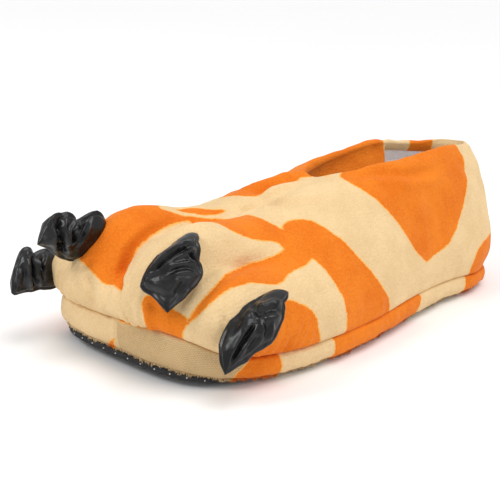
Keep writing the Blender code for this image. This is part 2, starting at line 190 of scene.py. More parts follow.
# %% The sole's outline
def half_outline(count=400):
    """Half-width and y of the near side: two squared quarter ellipses, x to the power n plus y
    to the power n equals one, joined by a smoothstep waist."""
    y_ball = (BALL_AT - 0.5) * SHOE_LENGTH
    y_round = (HEEL_ROUND_AT - 0.5) * SHOE_LENGTH
    quarter = np.linspace(0.0, np.pi / 2, count)
    toe = np.column_stack((
        BALL_WIDTH / 2 * np.sin(quarter) ** (2 / TOE_SQUARENESS),
        y_ball - (y_ball + SHOE_LENGTH / 2) * np.cos(quarter) ** (2 / TOE_SQUARENESS),
    ))
    share = np.linspace(0.0, 1.0, count)[1:-1]
    waist = np.column_stack((
        BALL_WIDTH / 2 + (HEEL_WIDTH - BALL_WIDTH) / 2 * smoothstep(0.0, 1.0, share),
        y_ball + (y_round - y_ball) * share,
    ))
    heel = np.column_stack((
        HEEL_WIDTH / 2 * np.cos(quarter) ** (2 / HEEL_SQUARENESS),
        y_round + (SHOE_LENGTH / 2 - y_round) * np.sin(quarter) ** (2 / HEEL_SQUARENESS),
    ))
    return np.vstack((toe, waist, heel))


def outline(inset, count):
    """A closed ring of count plan points drawn inset inside the outline, with its outward
    normals and each point's arc from the toe tip, near side positive. inset may be a function
    of the share of the length."""
    half_count = count // 2
    dense = half_outline()
    length = np.concatenate(([0.0], np.cumsum(np.hypot(*np.diff(dense, axis=0).T))))
    tangent = np.gradient(dense, length, axis=0)
    tangent = unit(tangent)
    tangent[0], tangent[-1] = (1.0, 0.0), (-1.0, 0.0)
    step = np.linspace(0.0, 1.0, half_count + 1)
    arc = (step - 0.10 * np.sin(np.pi * step)) * length[-1]
    point = np.column_stack([np.interp(arc, length, dense[:, axis]) for axis in (0, 1)])
    normal = np.column_stack((
        np.interp(arc, length, tangent[:, 1]),
        -np.interp(arc, length, tangent[:, 0]),
    ))
    normal = unit(normal)
    if callable(inset):
        inset = inset(along(point[:, 1]))
    inset = np.broadcast_to(inset, arc.shape)
    half = point - normal * inset[:, None]
    far = slice(half_count - 1, 0, -1)
    flip = np.array((-1.0, 1.0))
    ring = np.vstack((half, half[far] * flip))
    ring[:, 0] -= TOE_INSWING * np.clip(1.0 - along(ring[:, 1]) / 0.5, 0.0, 1.5) ** 2
    ring[:, 1] += TOE_SKEW * ring[:, 0] * np.clip(1.0 - along(ring[:, 1]) / 0.4, 0.0, 1.0)
    return ring, np.vstack((normal, normal[far] * flip)), np.concatenate((arc, -arc[far]))


# %% Heights of the layers
def floor_line(share):
    """Height of the sole's underside: flat, sprung at the toe, slightly rounded at the heel."""
    toe = np.clip(1.0 - share / SPRING_REACH, 0.0, 1.3) ** 2
    heel = np.clip((share - 1.0 + HEEL_LIFT_REACH) / HEEL_LIFT_REACH, 0.0, 1.0) ** 2
    return TOE_SPRING * toe + HEEL_LIFT * heel


def outsole_top(share):
    """Top edge of the black sheet, which curls up round the toe."""
    wrap = np.clip(1.0 - share / TOE_WRAP_REACH, 0.0, 1.3) ** 2
    return floor_line(share) + OUTSOLE_THICK + TOE_WRAP * wrap


def seam_height(share):
    """Height of the seam between platform and upper."""
    return outsole_top(share) + MIDSOLE_HEIGHT * smooth_table(MIDSOLE_HEIGHTS, 1, share)


# %% [markdown]
# The upper is one bag of plush. Ribs run from the seam round the sole up to the collar. In plan
# each rib is a straight run, and its height is a quarter ellipse of the distance from the seam,
# which gives the round shoulder of a stuffed shoe. A coarse version is smoothed first and then
# resampled finely with a spline, which is quicker than smoothing a fine grid many times.

# %% The upper's smooth form
FORM_COLUMNS = 120
FORM_ROWS = 36
RIB_SAMPLES = 90


def collar_rim(arc):
    """Plan points and heights of the collar's rim. Toe ribs gather at the throat because the
    share of the rim is 0.55 r plus 0.45 r cubed of the share r round the seam."""
    reach = np.abs(arc) / np.abs(arc).max()
    turn = 0.55 * reach + 0.45 * reach**3
    y_middle = (COLLAR_AT - 0.5) * SHOE_LENGTH
    x = np.sign(arc) * COLLAR_WIDTH / 2 * np.sin(np.pi * turn) ** 0.8
    y = y_middle - COLLAR_LENGTH / 2 * np.cos(np.pi * turn)
    near = smooth_table(COLLAR_RIM, 1, turn)
    far = smooth_table(COLLAR_RIM, 2, turn)
    return np.column_stack((x, y)), COLLAR_HEIGHT * np.where(arc > 0.0, near, far)


def distance_inside(plan, ring):
    """Shortest plan distance from each point to a closed ring of straight edges."""
    edge = np.roll(ring, -1, axis=0) - ring
    offset = plan[..., None, :] - ring
    share = np.clip((offset * edge).sum(axis=-1) / (edge**2).sum(axis=-1), 0.0, 1.0)
    return np.linalg.norm(offset - share[..., None] * edge, axis=-1).min(axis=-1)


def rib_points():
    """Height over the seam is (ridge minus base) times the square root of 1 minus (1 minus
    inside over roll) squared. The wall swells outwards by the bulge times sine of pi times the
    rise to SWELL_POWER."""
    foot, normal, arc = outline(SEAM_INSET, FORM_COLUMNS)
    rim, rim_height = collar_rim(arc)
    base = seam_height(along(foot[:, 1])) + GAP
    t = np.linspace(0.0, 1.0, RIB_SAMPLES)[:, None]
    plan = foot + (rim - foot) * (t**2)[:, :, None]
    share = along(plan[:, :, 1])
    roll = ROLL * smooth_table(SECTIONS, 2, share)
    inside = distance_inside(plan, foot)
    rise = np.sqrt(1.0 - np.clip(1.0 - inside / roll, 0.0, 1.0) ** 2)
    ridge = INSTEP_HEIGHT * smooth_table(SECTIONS, 1, share)
    height = base + (ridge - base) * rise
    height = height + (rim_height - height[-1]) * smoothstep(0.35, 1.0, t)
    bulge = TOE_BULGE * smooth_table(SECTIONS, 3, along(foot[:, 1]))
    swell = bulge * np.sin(np.pi * rise**SWELL_POWER)
    return np.dstack((plan + normal * swell[:, :, None], height)), arc


def even_rows(ribs, rows):
    """Each rib cut into equal steps of its own length."""
    step = np.linalg.norm(np.diff(ribs, axis=0), axis=2)
    length = np.concatenate((np.zeros((1, ribs.shape[1])), np.cumsum(step, axis=0)))
    share = length / length[-1]
    even = np.linspace(0.0, 1.0, rows + 1)
    columns = [
        np.column_stack([np.interp(even, share[:, rib], ribs[:, rib, axis]) for axis in range(3)])
        for rib in range(ribs.shape[1])
    ]
    return np.stack(columns, axis=1)


def grid_normals(grid):
    """Outward unit normals of a grid whose rows are closed rings: the cross product of the way
    round and the way up."""
    round_way = np.roll(grid, -1, axis=1) - np.roll(grid, 1, axis=1)
    up_way = np.gradient(grid, axis=0)
    normal = np.cross(round_way, up_way)
    return normal / np.maximum(np.linalg.norm(normal, axis=2), 1e-12)[:, :, None]


def relaxed(grid, passes):
    """Each point drawn to the mean of its neighbours, its first and last rows kept."""
    for _ in range(passes):
        beside = (np.roll(grid, 1, axis=1) + np.roll(grid, -1, axis=1)) / 4
        above = (grid[2:] + grid[:-2]) / 4
        grid = np.concatenate((grid[:1], (grid[1:-1] + beside[1:-1] + above) / 2, grid[-1:]))
    return grid


form_ribs, form_arc = rib_points()
form = relaxed(even_rows(form_ribs, FORM_ROWS), 6)
form_direction = grid_normals(relaxed(form, 16))
print("smooth form:", form.shape, "highest point", round(float(form[:, :, 2].max()), 4))


# %% Finer grids by Catmull-Rom splines
def spline_weights(t):
    """Catmull-Rom weights of the four points round a gap at share t of it."""
    return np.stack((
        -(t**3) / 2 + t**2 - t / 2,
        1.5 * t**3 - 2.5 * t**2 + 1.0,
        -1.5 * t**3 + 2.0 * t**2 + t / 2,
        t**3 / 2 - t**2 / 2,
    ))


def finer_round(grid, count):
    """The grid's closed rings resampled to count points each."""
    at = np.arange(count) / count * grid.shape[1]
    i = at.astype(int)
    weight = spline_weights(at - i)
    return sum(weight[k][:, None] * grid[:, (i + k - 1) % grid.shape[1]] for k in range(4))


def finer_up(grid, at):
    """The grid's rows read at shares of its height, carried straight on beyond both ends."""
    padded = np.concatenate((2 * grid[:1] - grid[1:2], grid, 2 * grid[-1:] - grid[-2:-1]))
    place = np.asarray(at) * (len(grid) - 1)
    i = np.clip(place.astype(int), 0, len(grid) - 2)
    weight = spline_weights(np.clip(place - i, 0.0, 1.0))
    inside = sum(weight[k][:, None, None] * padded[i + k] for k in range(4))
    over = (place - np.clip(place, 0, len(grid) - 1))[:, None, None]
    return inside + over * np.where(over > 0, grid[-1] - grid[-2], grid[1] - grid[0])


def finer(grid, rows, columns):
    """The whole grid resampled both ways."""
    return finer_up(finer_round(grid, columns), np.linspace(0.0, 1.0, rows + 1))


SKIN_COLUMNS = 640
SKIN_ROWS = 112
smooth_skin = finer(form, SKIN_ROWS, SKIN_COLUMNS)
skin_direction = finer(form_direction, SKIN_ROWS, SKIN_COLUMNS)
skin_direction = unit(skin_direction)
print("skin grid:", smooth_skin.shape)


# %% [markdown]
# The four toes are one surface drawn in between the stuffing. The valleys fan out towards the
# ball of the foot and fade at the seam and on the instep, and a shallow tuck runs up the middle
# of the instep to the collar.

# %% Toes and instep tuck
def toe_window(grid):
    """1 over the toes, fading out at the seam and back over the instep."""
    rows = np.linspace(0.0, 1.0, len(grid))[:, None]
    return smoothstep(0.0, 0.20, rows) * (1.0 - smoothstep(0.14, 0.36, along(grid[:, :, 1])))


def valley_depth(grid):
    """A power of the nearness to each valley line, 0 on each toe's crest."""
    spread = 1.0 + TOE_FAN * np.clip(along(grid[:, :, 1]) / 0.3, 0.0, 1.0)
    across = grid[:, :, 0] / spread / BALL_WIDTH
    drawn = np.zeros(across.shape)
    places = [row[0] for row in TOE_VALLEYS]
    for i, (place, depth) in enumerate(TOE_VALLEYS):
        to_left = (place - places[i - 1]) / 2 if i > 0 else 0.15
        to_right = (places[i + 1] - place) / 2 if i + 1 < len(places) else 0.15
        reach = np.where(across < place, to_left, to_right)
        away = np.hypot(across - place, TOE_VALLEY_SOFT) - TOE_VALLEY_SOFT
        drawn += depth * np.clip(1.0 - away / reach, 0.0, 1.0) ** TOE_VALLEY_POWER
    return TOE_VALLEY_DEPTH * drawn


def instep_crease(grid):
    """A bell across the middle of the instep, from the forefoot to the collar's throat."""
    share = along(grid[:, :, 1])
    throat = COLLAR_AT - COLLAR_LENGTH / SHOE_LENGTH / 2
    reach = smoothstep(0.24, 0.36, share) * (1.0 - smoothstep(throat - 0.02, throat + 0.06, share))
    return INSTEP_CREASE_DEPTH * reach * np.exp(-((grid[:, :, 0] / INSTEP_CREASE_WIDTH) ** 2))


skin_window = toe_window(smooth_skin)
skin_crease = instep_crease(smooth_skin)
skin_inward = skin_window * valley_depth(smooth_skin) + skin_crease
drawn_skin = relaxed(smooth_skin - skin_direction * skin_inward[:, :, None], 2)
drawn_normal = grid_normals(drawn_skin)
print("deepest valley, mm:", round(float(skin_inward.max()) * 1000, 1))

# %% [markdown]
# The camera stands where the photograph was taken from: about 45 degrees round from the toe and
# 16 degrees up, rolled by 2 degrees. It is made early, because the print's outlines and the
# folds are placed by reading where they sit in the picture.

# %% Camera
CAMERA_AZIMUTH = 44.5
CAMERA_ELEVATION = 16.0
CAMERA_DISTANCE = 0.620
CAMERA_TARGET = np.array((-0.038, -0.013, 0.029))
CAMERA_ROLL = 2.2
FOCAL_PIXELS = 1035.0
PICTURE_PIXELS = 500
SENSOR = 36.0


def set_pose(thing, right, up, back, place):
    """Stands a camera or a light at its place with its three axes."""
    pose = Matrix.Identity(4)
    for axis, direction in enumerate((right, up, back, place)):
        pose.col[axis][:3] = direction
    thing.matrix_world = pose
    bpy.context.scene.collection.objects.link(thing)


def camera_axes():
    """Right, up and backward unit vectors of the camera, with its roll."""
    turn, lift, roll = np.radians((CAMERA_AZIMUTH, CAMERA_ELEVATION, CAMERA_ROLL))
    back = np.array((np.sin(turn) * np.cos(lift), -np.cos(turn) * np.cos(lift), np.sin(lift)))
    level = np.array((np.cos(turn), np.sin(turn), 0.0))
    above = np.cross(back, level)
    right = level * np.cos(roll) + above * np.sin(roll)
    return right, np.cross(back, right), back


camera_right, camera_up, camera_back = camera_axes()
camera_place = CAMERA_TARGET + camera_back * CAMERA_DISTANCE
camera = bpy.data.objects.new("camera", bpy.data.cameras.new("camera"))
camera.data.sensor_width = SENSOR
camera.data.lens = FOCAL_PIXELS / PICTURE_PIXELS * SENSOR
camera.data.clip_start = 0.01
set_pose(camera, camera_right, camera_up, camera_back, camera_place)
bpy.context.scene.camera = camera
print("camera at", np.round(camera_place, 3), "lens", round(camera.data.lens, 1), "mm")


# %% [markdown]
# Three ways to say where something sits on a grid of plush: at a point seen in the picture, at
# a distance round the seam with a share of the way up (for the hidden side), or straight above a
# plan point. All give the same chart places, so one outline may mix them.

# %% Places on a surface
def picture_places(points):
    """Pixel places of points by perspective, and their depths from the camera."""
    offset = points - camera_place
    depth = -(offset @ camera_back)
    x = PICTURE_PIXELS / 2 + FOCAL_PIXELS * (offset @ camera_right) / depth
    y = PICTURE_PIXELS / 2 - FOCAL_PIXELS * (offset @ camera_up) / depth
    return np.stack((x, y), axis=-1), depth


DEPTH_PREFERENCE = 100.0
LEAST_FACING = 0.02
FACING_AWAY_COST = 1000.0
MM = 1000.0


def seen_on(grid, normal, pixels):
    """Chart places (share round, near side positive; share up) of the grid points that face the
    camera and fall nearest to the given pixels, the nearer layer first."""
    place, depth = picture_places(grid)
    facing = ((camera_place - grid) * normal).sum(axis=2) > LEAST_FACING * depth
    cost_base = DEPTH_PREFERENCE * depth + np.where(facing, 0.0, FACING_AWAY_COST)
    found = []
    for pixel in pixels:
        cost = np.hypot(place[:, :, 0] - pixel[0], place[:, :, 1] - pixel[1]) + cost_base
        row, column = np.unravel_index(cost.argmin(), cost.shape)
        round_share = column / grid.shape[1]
        found.append((round_share - (round_share > 0.5), row / (len(grid) - 1)))
    return np.array(found)


def turn_shares(count):
    """Shares of the way round a ring of count points, from the toe tip, near side positive."""
    share = np.arange(count) / count
    return np.where(share > 0.5, share - 1.0, share)


def by_arc(arcs, places):
    """Chart places from millimetres round a ring with the given arcs and shares of the height."""
    order = np.argsort(arcs)
    at = [place[0] / MM for place in places]
    rounds = np.interp(at, arcs[order], turn_shares(len(arcs))[order])
    return np.column_stack((rounds, [place[1] for place in places]))


def seen(*pixels):
    """Chart places on the upper's skin from pixels of the picture."""
    return seen_on(drawn_skin, drawn_normal, pixels)


def hidden(*places):
    """Chart places from millimetres round the seam from the toe tip and a share of the height."""
    return by_arc(form_arc, places)


def over(*places):
    """Chart places straight above plan points given in millimetres."""
    found = []
    facing_up = np.where(drawn_normal[:, :, 2] > 0.2, 0.0, 1.0)
    for x, y in places:
        off = np.hypot(drawn_skin[:, :, 0] - x / MM, drawn_skin[:, :, 1] - y / MM)
        row, column = np.unravel_index((off + facing_up).argmin(), off.shape)
        round_share = column / SKIN_COLUMNS
        found.append((round_share - (round_share > 0.5), row / SKIN_ROWS))
    return np.array(found)


def lifted(places, up):
    """The same places round the shoe moved to another share of the height, such as over the
    rim (above 1) or under the seam (below 0)."""
    return np.column_stack((places[:, 0], np.full(len(places), up)))


def on_grid(grid, places):
    """Points of a grid at chart places, straight on beyond its first and last rows."""
    columns = grid.shape[1]
    at = np.mod(places[:, 0], 1.0) * columns
    left = at.astype(int) % columns
    side = (at - np.floor(at))[:, None]
    row = places[:, 1] * (len(grid) - 1)
    low = np.clip(row.astype(int), 0, len(grid) - 2)
    rise = (row - low)[:, None]
    lower = grid[low, left] * (1 - side) + grid[low, (left + 1) % columns] * side
    upper = grid[low + 1, left] * (1 - side) + grid[low + 1, (left + 1) % columns] * side
    return lower + (upper - lower) * rise


# %% [markdown]
# Folds in plush are broad and soft. Each one is a path on the skin with a depth, a width and a
# little raised lip on both sides, faded at its ends. They are placed where the picture shows
# them, because a simulation would put its folds somewhere else.

# %% A fold along a path
def to_path(points, path):
    """Distance from each point to a path of straight legs, and the share along it."""
    legs = np.diff(path, axis=0)
    size = np.linalg.norm(legs, axis=1)
    start = np.concatenate(([0.0], np.cumsum(size)))[:-1]
    best = np.full(points.shape[:-1], 1e9)
    where = np.zeros(points.shape[:-1])
    for leg, length, begin, origin in zip(legs, size, start, path[:-1]):
        t = np.clip(((points - origin) @ leg) / max(length**2, 1e-12), 0.0, 1.0)
        distance = np.linalg.norm(points - origin - t[..., None] * leg, axis=-1)
        nearer = distance < best
        best = np.where(nearer, distance, best)
        where = np.where(nearer, (begin + t * length) / max(size.sum(), 1e-12), where)
    return best, where


def fold(grid, path, depth, width, lip=0.25, fade=0.3, power=2.0):
    """Depth of a valley: exp of minus (distance over width) to a power, less a lip, a ring-
    shaped bell, all times a smooth fade at both ends. A power of 2 is soft, and 1 is a crease."""
    off, share = to_path(grid, path)
    ends = smoothstep(0.0, fade, share) * (1.0 - smoothstep(1.0 - fade, 1.0, share))
    ends = 0.15 + 0.85 * ends
    bell = np.exp(-((off / width) ** power))
    ring = np.exp(-(((off - 2.0 * width) / width) ** 2))
    return depth * ends * (bell - lip * ring)


# %% Folds of the upper
# Each row: path, depth in mm, width in mm, lip, fade.
FOLDS = (
    # the three valleys between the toes, pulled in along their stitches
    (
        seen((120, 322), (118, 304), (119, 290), (124, 268), (134, 250), (150, 234), (172, 222)),
        3.0, 2.6, 0.3, 0.3,
    ),
    (
        seen((185, 333), (192, 315), (202, 300), (214, 285), (228, 275), (245, 266), (272, 257)),
        1.7, 3.0, 0.2, 0.3,
    ),
    (seen((97, 313), (94, 303), (90, 288), (86, 274), (78, 266)), 2.2, 2.6, 0.3, 0.3),
    # tucks where the claws pull at the toes
    (seen((93, 263), (84, 267), (77, 268)), 1.8, 1.6, 0.5, 0.4),
    (seen((196, 243), (194, 234), (190, 226)), 1.3, 1.6, 0.5, 0.5),
    (seen((206, 252), (203, 262), (196, 275)), 1.0, 2.2, 0.4, 0.5),
    (seen((225, 330), (225, 322), (222, 312)), 1.2, 1.6, 0.5, 0.5),
    (seen((143, 300), (150, 306), (153, 316)), 1.2, 1.8, 0.5, 0.5),
    (seen((150, 297), (158, 309), (161, 322)), 1.0, 1.6, 0.5, 0.5),
    (seen((176, 310), (184, 300), (194, 290)), 0.9, 2.0, 0.4, 0.5),
    # the tuck where the two halves of the collar meet over the instep
    (over((-4, 2), (-6, -8), (-9, -18), (-12, -30), (-11, -42)), 4.6, 4.5, 0.4, 0.25),
    # the puffed crest on the near side of that tuck
    (seen((258, 199), (268, 195), (282, 188), (296, 181), (310, 175)), -2.4, 6.0, 0.1, 0.3),
    (seen((262, 202), (275, 204), (292, 204), (310, 201), (332, 198)), 2.0, 3.2, 0.5, 0.35),
    (seen((262, 206), (285, 209), (310, 212), (340, 214)), 1.1, 3.4, 0.4, 0.5),
    (seen((262, 205), (252, 208), (243, 211), (232, 210)), 2.0, 2.6, 0.5, 0.5),
    (seen((255, 199), (243, 203), (231, 205)), 0.8, 2.4, 0.4, 0.5),
    # the roll under the near rim
    (seen((345, 178), (362, 175), (385, 174), (410, 174.5), (430, 172), (444, 164)), 1.6, 3.0, 0.5, 0.35),
    (seen((452, 150), (459, 162), (470, 173), (480, 180)), 1.0, 3.4, 0.4, 0.4),
    # the pinch in the far rim and the drag lines that run from it
    (hidden((-282, 1.0), (-280, 0.93), (-272, 0.80), (-260, 0.66)), 2.6, 3.2, 0.5, 0.4),
    (hidden((-200, 0.96), (-186, 0.80), (-160, 0.62)), 1.4, 5.0, 0.5, 0.5),
    # soft bends round the heel
    (hidden((322, 0.74), (350, 0.66), (-345, 0.64), (-318, 0.72)), 1.2, 5.0, 0.5, 0.4),
    (hidden((330, 0.36), (352, 0.30), (-346, 0.30), (-322, 0.38)), 1.0, 5.0, 0.5, 0.4),
    # broad, faint waves on the long sides
    (seen((300, 232), (330, 262), (350, 290)), 0.5, 7.0, 0.4, 0.5),
    (seen((398, 205), (420, 232), (432, 262)), 0.6, 7.0, 0.4, 0.5),
    (hidden((-215, 0.20), (-205, 0.42), (-210, 0.62)), 1.0, 7.0, 0.4, 0.5),
    (hidden((-278, 0.22), (-268, 0.45), (-276, 0.66)), 1.0, 7.0, 0.4, 0.5),
)
skin_folds = sum(
    fold(drawn_skin, on_grid(drawn_skin, path), depth / MM, width / MM, lip, fade)
    for path, depth, width, lip, fade in FOLDS
)
print("folds:", len(FOLDS), "deepest, mm:", round(float(skin_folds.max()) * MM, 2))


# %% [markdown]
# Between the folds the stuffing is never even. A few crossed sine waves in space give slow
# lumps, and finer waves along the seam give the gathers where the toes are sewn to the platform.

# %% Lumps and gathers
LUMP_HEIGHT = 0.0007
GATHER_HEIGHT = 0.0008
GATHER_REACH = 0.10


def lumps(points, wavelength, seed, waves=7):
    """Sum of waves with seeded directions and phases, scaled to about 1 at most."""
    rng = np.random.default_rng(seed)
    direction = rng.normal(size=(waves, 3))
    direction = unit(direction)
    number = 2 * np.pi / wavelength * rng.uniform(0.7, 1.4, waves)
    phase = rng.uniform(0.0, 2 * np.pi, waves)
    return np.sin(points @ (direction * number[:, None]).T + phase).sum(axis=-1) / waves**0.5 / 1.5


def gathers(grid, columns, seed):
    """Waves along the seam, strongest at the toes, dying out up the rib."""
    turn = np.arange(columns) / columns * 2 * np.pi
    rng = np.random.default_rng(seed)
    counts = rng.integers(55, 130, 8)
    wave = sum(np.cos(count * turn + rng.uniform(0, 6.28)) for count in counts) / 3.0
    rows = np.linspace(0.0, 1.0, len(grid))[:, None]
    toes = 1.0 - 0.75 * smoothstep(0.18, 0.40, along(grid[:, :, 1]))
    return wave[None, :] * np.exp(-rows / GATHER_REACH) * smoothstep(0.0, 0.02, rows) * toes


SEAM_OUT = 0.0016
SEAM_OUT_REACH = 0.09
# Each row: millimetres round the seam, millimetres that the seam rides above its plain line.
SEAM_WAVES = (
    (-366, 0.0),
    (-120, 0.0),
    (-60, 0.6),
    (-20, -0.4),
    (5, 0.2),
    (22, 1.4),
    (38, 2.8),
    (50, 2.2),
    (66, -0.3),
    (100, 0.3),
    (200, 0.0),
    (366, 0.0),
)


def seam_wave(arc):
    """How far the seam rides up, by its table and slow small waves."""
    return smooth_table(SEAM_WAVES, 1, arc * MM) / MM + 0.0002 * np.sin(arc / 0.0105)


def seam_reach(rows):
    """1 at the seam, dying out up the rib."""
    return 1.0 - smoothstep(0.0, SEAM_OUT_REACH, rows)


_, seam_normal, skin_arc = outline(SEAM_INSET, SKIN_COLUMNS)
rows_up = np.linspace(0.0, 1.0, SKIN_ROWS + 1)[:, None]
skin_lumps = LUMP_HEIGHT * lumps(drawn_skin, 0.034, 3) + 0.0003 * lumps(drawn_skin, 0.013, 5)
skin_gathers = GATHER_HEIGHT * gathers(drawn_skin, SKIN_COLUMNS, 11)
skin_rise = skin_lumps + skin_gathers - skin_folds
skin_rise = skin_rise * smoothstep(0.0, 0.03, rows_up)
skin = drawn_skin + drawn_normal * skin_rise[:, :, None]
skin[:, :, :2] += (SEAM_OUT * seam_reach(rows_up))[:, :, None] * seam_normal[None, :, :]
skin[:, :, 2] += seam_reach(rows_up / 1.6) * seam_wave(skin_arc)[None, :]
skin_pulled = skin_inward + np.maximum(skin_folds, 0.0)
print("skin rises and falls by, mm:", np.round([skin_rise.min() * MM, skin_rise.max() * MM], 2))

# %% [markdown]
# The print is two plain colours, orange and cream, in large tongues and stripes. Each patch is a
# closed outline on the skin. The signed distance to the outline, in millimetres, is kept on the
# mesh, so that the material can draw a crisp edge with the thin pale halo that the real print
# has. The hidden side has plain patches of the same kind.

# %% Outlines of the print on the upper
PATCHES = (
    # over the inner-middle toe, the instep and down the side in one tongue
    np.vstack((
        seen((73, 249), (83, 261), (92.5, 274), (105, 283.5), (120.5, 289)),
        seen((120.4, 287), (126, 275.7), (130.7, 263), (137, 250), (146.7, 239), (159.4, 229.4)),
        seen((175.4, 223), (191.3, 219.6), (207.3, 221.5), (222, 226), (233.3, 231.4), (246, 237)),
        seen((257, 238.6), (270, 240), (278, 244), (285.5, 249.8), (281, 253), (271, 257.3)),
        seen((257, 260.8), (243, 265), (229, 272), (216.5, 280.5), (205.3, 293), (195.4, 305.7)),
        seen((188.4, 318.4), (182, 332)),
        seen((184, 333), (187.5, 325), (194, 318.4), (205.3, 308.6), (215, 298.7), (226.3, 290.3)),
        seen((239, 284), (250, 282), (264, 282.6), (278.2, 284), (282.4, 282), (289.4, 273.5)),
        seen((295, 268), (306, 265.8), (311, 262.2), (311.2, 256), (324.5, 268), (334.3, 282)),
        seen((342.8, 298.7), (347, 314)),
        lifted(seen((348.4, 329)), -0.15),
        lifted(seen((392.6, 309)), -0.15),
        seen((389, 298.7), (380.7, 284.7), (369.4, 269.3), (355.4, 252.4), (341.4, 238.4)),
        seen((327.3, 228.6), (313.3, 221.6), (303.5, 219.5), (292.2, 220.2), (284, 223), (282, 227)),
        seen((285, 231.4), (275.4, 224.4), (264.2, 219.5), (253, 216), (244.5, 214.3), (236, 216.6)),
        seen((222, 218), (208, 218), (194, 217), (180, 214.8), (169, 211), (159, 208.5)),
        over((-38, -62), (-50, -70)),
        hidden((-92, 0.46), (-86, 0.36), (-70, 0.34), (-50, 0.40), (-40, 0.34), (-34, 0.26)),
    )),
    # the lens above the cream sliver
    np.vstack((
        seen((173, 209.6), (185, 208.3), (197, 208.3), (215, 209.6), (227, 211.2), (221, 214.6)),
        seen((211, 215.8), (194, 213.8), (182, 211.4)),
    )),
    # the tongue down the near side of the heel
    np.vstack((
        seen((339.5, 176), (347.6, 181), (359.6, 188.3), (375.7, 199), (389, 211), (401, 224.5)),
        seen((410.5, 240.5), (418.6, 254), (426.6, 262.5), (437.3, 254), (448, 244.5), (456, 231)),
        seen((462.8, 207), (466.8, 187), (467.4, 173.6), (462.8, 157.5)),
        lifted(seen((455, 148)), 1.2),
        lifted(seen((444, 146), (424, 150), (410, 154), (386, 166), (357, 172), (341, 175)), 1.3),
    )),
    seen((322, 170.5), (326, 171.5), (331, 175.5), (323, 174)),
    # the far half of the collar
    np.vstack((
        seen((232, 197), (243, 197), (254.4, 197.7), (261.4, 197), (264.2, 193.5), (275.4, 187.9)),
        seen((289.4, 180), (300.7, 176), (313.3, 169.6)),
        lifted(seen((318, 170)), 1.3),
        lifted(hidden((-60, 1.0), (-150, 1.0), (-235, 1.0), (-281, 1.0)), 1.3),
        hidden((-281, 0.985), (-262, 0.96), (-246, 0.955), (-250, 0.86), (-262, 0.74), (-262, 0.60)),
        hidden((-250, 0.46), (-236, 0.36), (-222, 0.34), (-205, 0.42), (-192, 0.54), (-172, 0.62)),
        hidden((-140, 0.66), (-110, 0.66)),
    )),
    np.vstack((
        lifted(hidden((-314, 1.0), (-336, 1.0)), 1.3),
        hidden((-340, 0.90), (-342, 0.76), (-334, 0.64), (-322, 0.66), (-312, 0.82)),
    )),
    # behind the heel
    np.vstack((
        seen((488.6, 236), (482.8, 242), (477.5, 251.2), (473.5, 262), (469.5, 270)),
        lifted(seen((466, 279)), -0.15),
        lifted(hidden((352, 0.0), (-340, 0.0), (-305, 0.0)), -0.15),
        hidden((-302, 0.12), (-312, 0.26), (-328, 0.36), (-345, 0.44), (358, 0.42)),
    )),
    # under the outer-middle claw
    np.vstack((
        seen((141, 298), (148.3, 293), (158, 296), (167, 303), (175.4, 313.5), (188, 319)),
        seen((185.7, 328.3), (181.5, 334)),
        lifted(seen((181, 335), (167.4, 331), (147, 327)), -0.1),
        seen((144.5, 316)),
    )),
    # beside the outer claw
    np.vstack((
        seen((282, 299), (295, 300), (306.3, 307), (313.3, 312.8), (318.2, 321), (319, 332.4)),
        seen((317, 343)),
        lifted(seen((314.7, 350), (299.3, 355), (278, 359), (262, 356), (248, 350)), -0.1),
        seen((252, 340), (266, 320)),
    )),
    # plain patches that carry the print on over the hidden side
    np.vstack((
        hidden((-112, -0.1), (-118, 0.12), (-132, 0.30), (-150, 0.40), (-162, 0.34), (-164, 0.16)),
        hidden((-156, -0.1), (-134, -0.1)),
    )),
    hidden((-60, -0.1), (-58, 0.05), (-66, 0.16), (-80, 0.19), (-90, 0.10), (-88, -0.1)),
    np.vstack((
        hidden((-212, -0.1), (-208, 0.06), (-220, 0.12), (-244, 0.10), (-262, 0.16), (-284, 0.12)),
        hidden((-280, -0.1), (-246, -0.1)),
    )),
)
print("print patches:", len(PATCHES))


# %% Signed distance to the print's edge
CHART_WIDTH = 0.75
CHART_HEIGHT = 0.13
EDGE_STEP = 0.001
EDGE_SOFTENING = 0.0022
FAR_AWAY = 0.03
MARGIN = (0.02, 0.12)
BLOCK = 4000


def soft_loop(places):
    """A closed outline stepped evenly in chart millimetres and rounded a little: each point is
    the mean of its neighbours, weighted by a bell."""
    scale = np.array((CHART_WIDTH, CHART_HEIGHT))
    closed = np.vstack((places, places[:1])) * scale
    length = np.concatenate(([0.0], np.cumsum(np.hypot(*np.diff(closed, axis=0).T))))
    count = max(int(length[-1] / EDGE_STEP), 12)
    at = np.linspace(0.0, length[-1], count, endpoint=False)
    loop = np.column_stack([np.interp(at, length, closed[:, axis]) for axis in (0, 1)])
    reach = int(3 * EDGE_SOFTENING / EDGE_STEP)
    shifts = range(-reach, reach + 1)
    weight = [np.exp(-0.5 * (shift * EDGE_STEP / EDGE_SOFTENING) ** 2) for shift in shifts]
    rolled = sum(w * np.roll(loop, shift, axis=0) for shift, w in zip(shifts, weight))
    return rolled / sum(weight) / scale


def inside_loop(places, loop):
    """Even-odd rule: a place is inside if a ray from it crosses the loop an odd number of times."""
    inside = np.zeros(len(places), dtype=bool)
    for (x0, y0), (x1, y1) in zip(loop, np.roll(loop, -1, axis=0)):
        crosses = (y0 > places[:, 1]) != (y1 > places[:, 1])
        level = x0 + (places[:, 1] - y0) * (x1 - x0) / (y1 - y0 if y1 != y0 else 1e-12)
        inside ^= crosses & (places[:, 0] < level)
    return inside


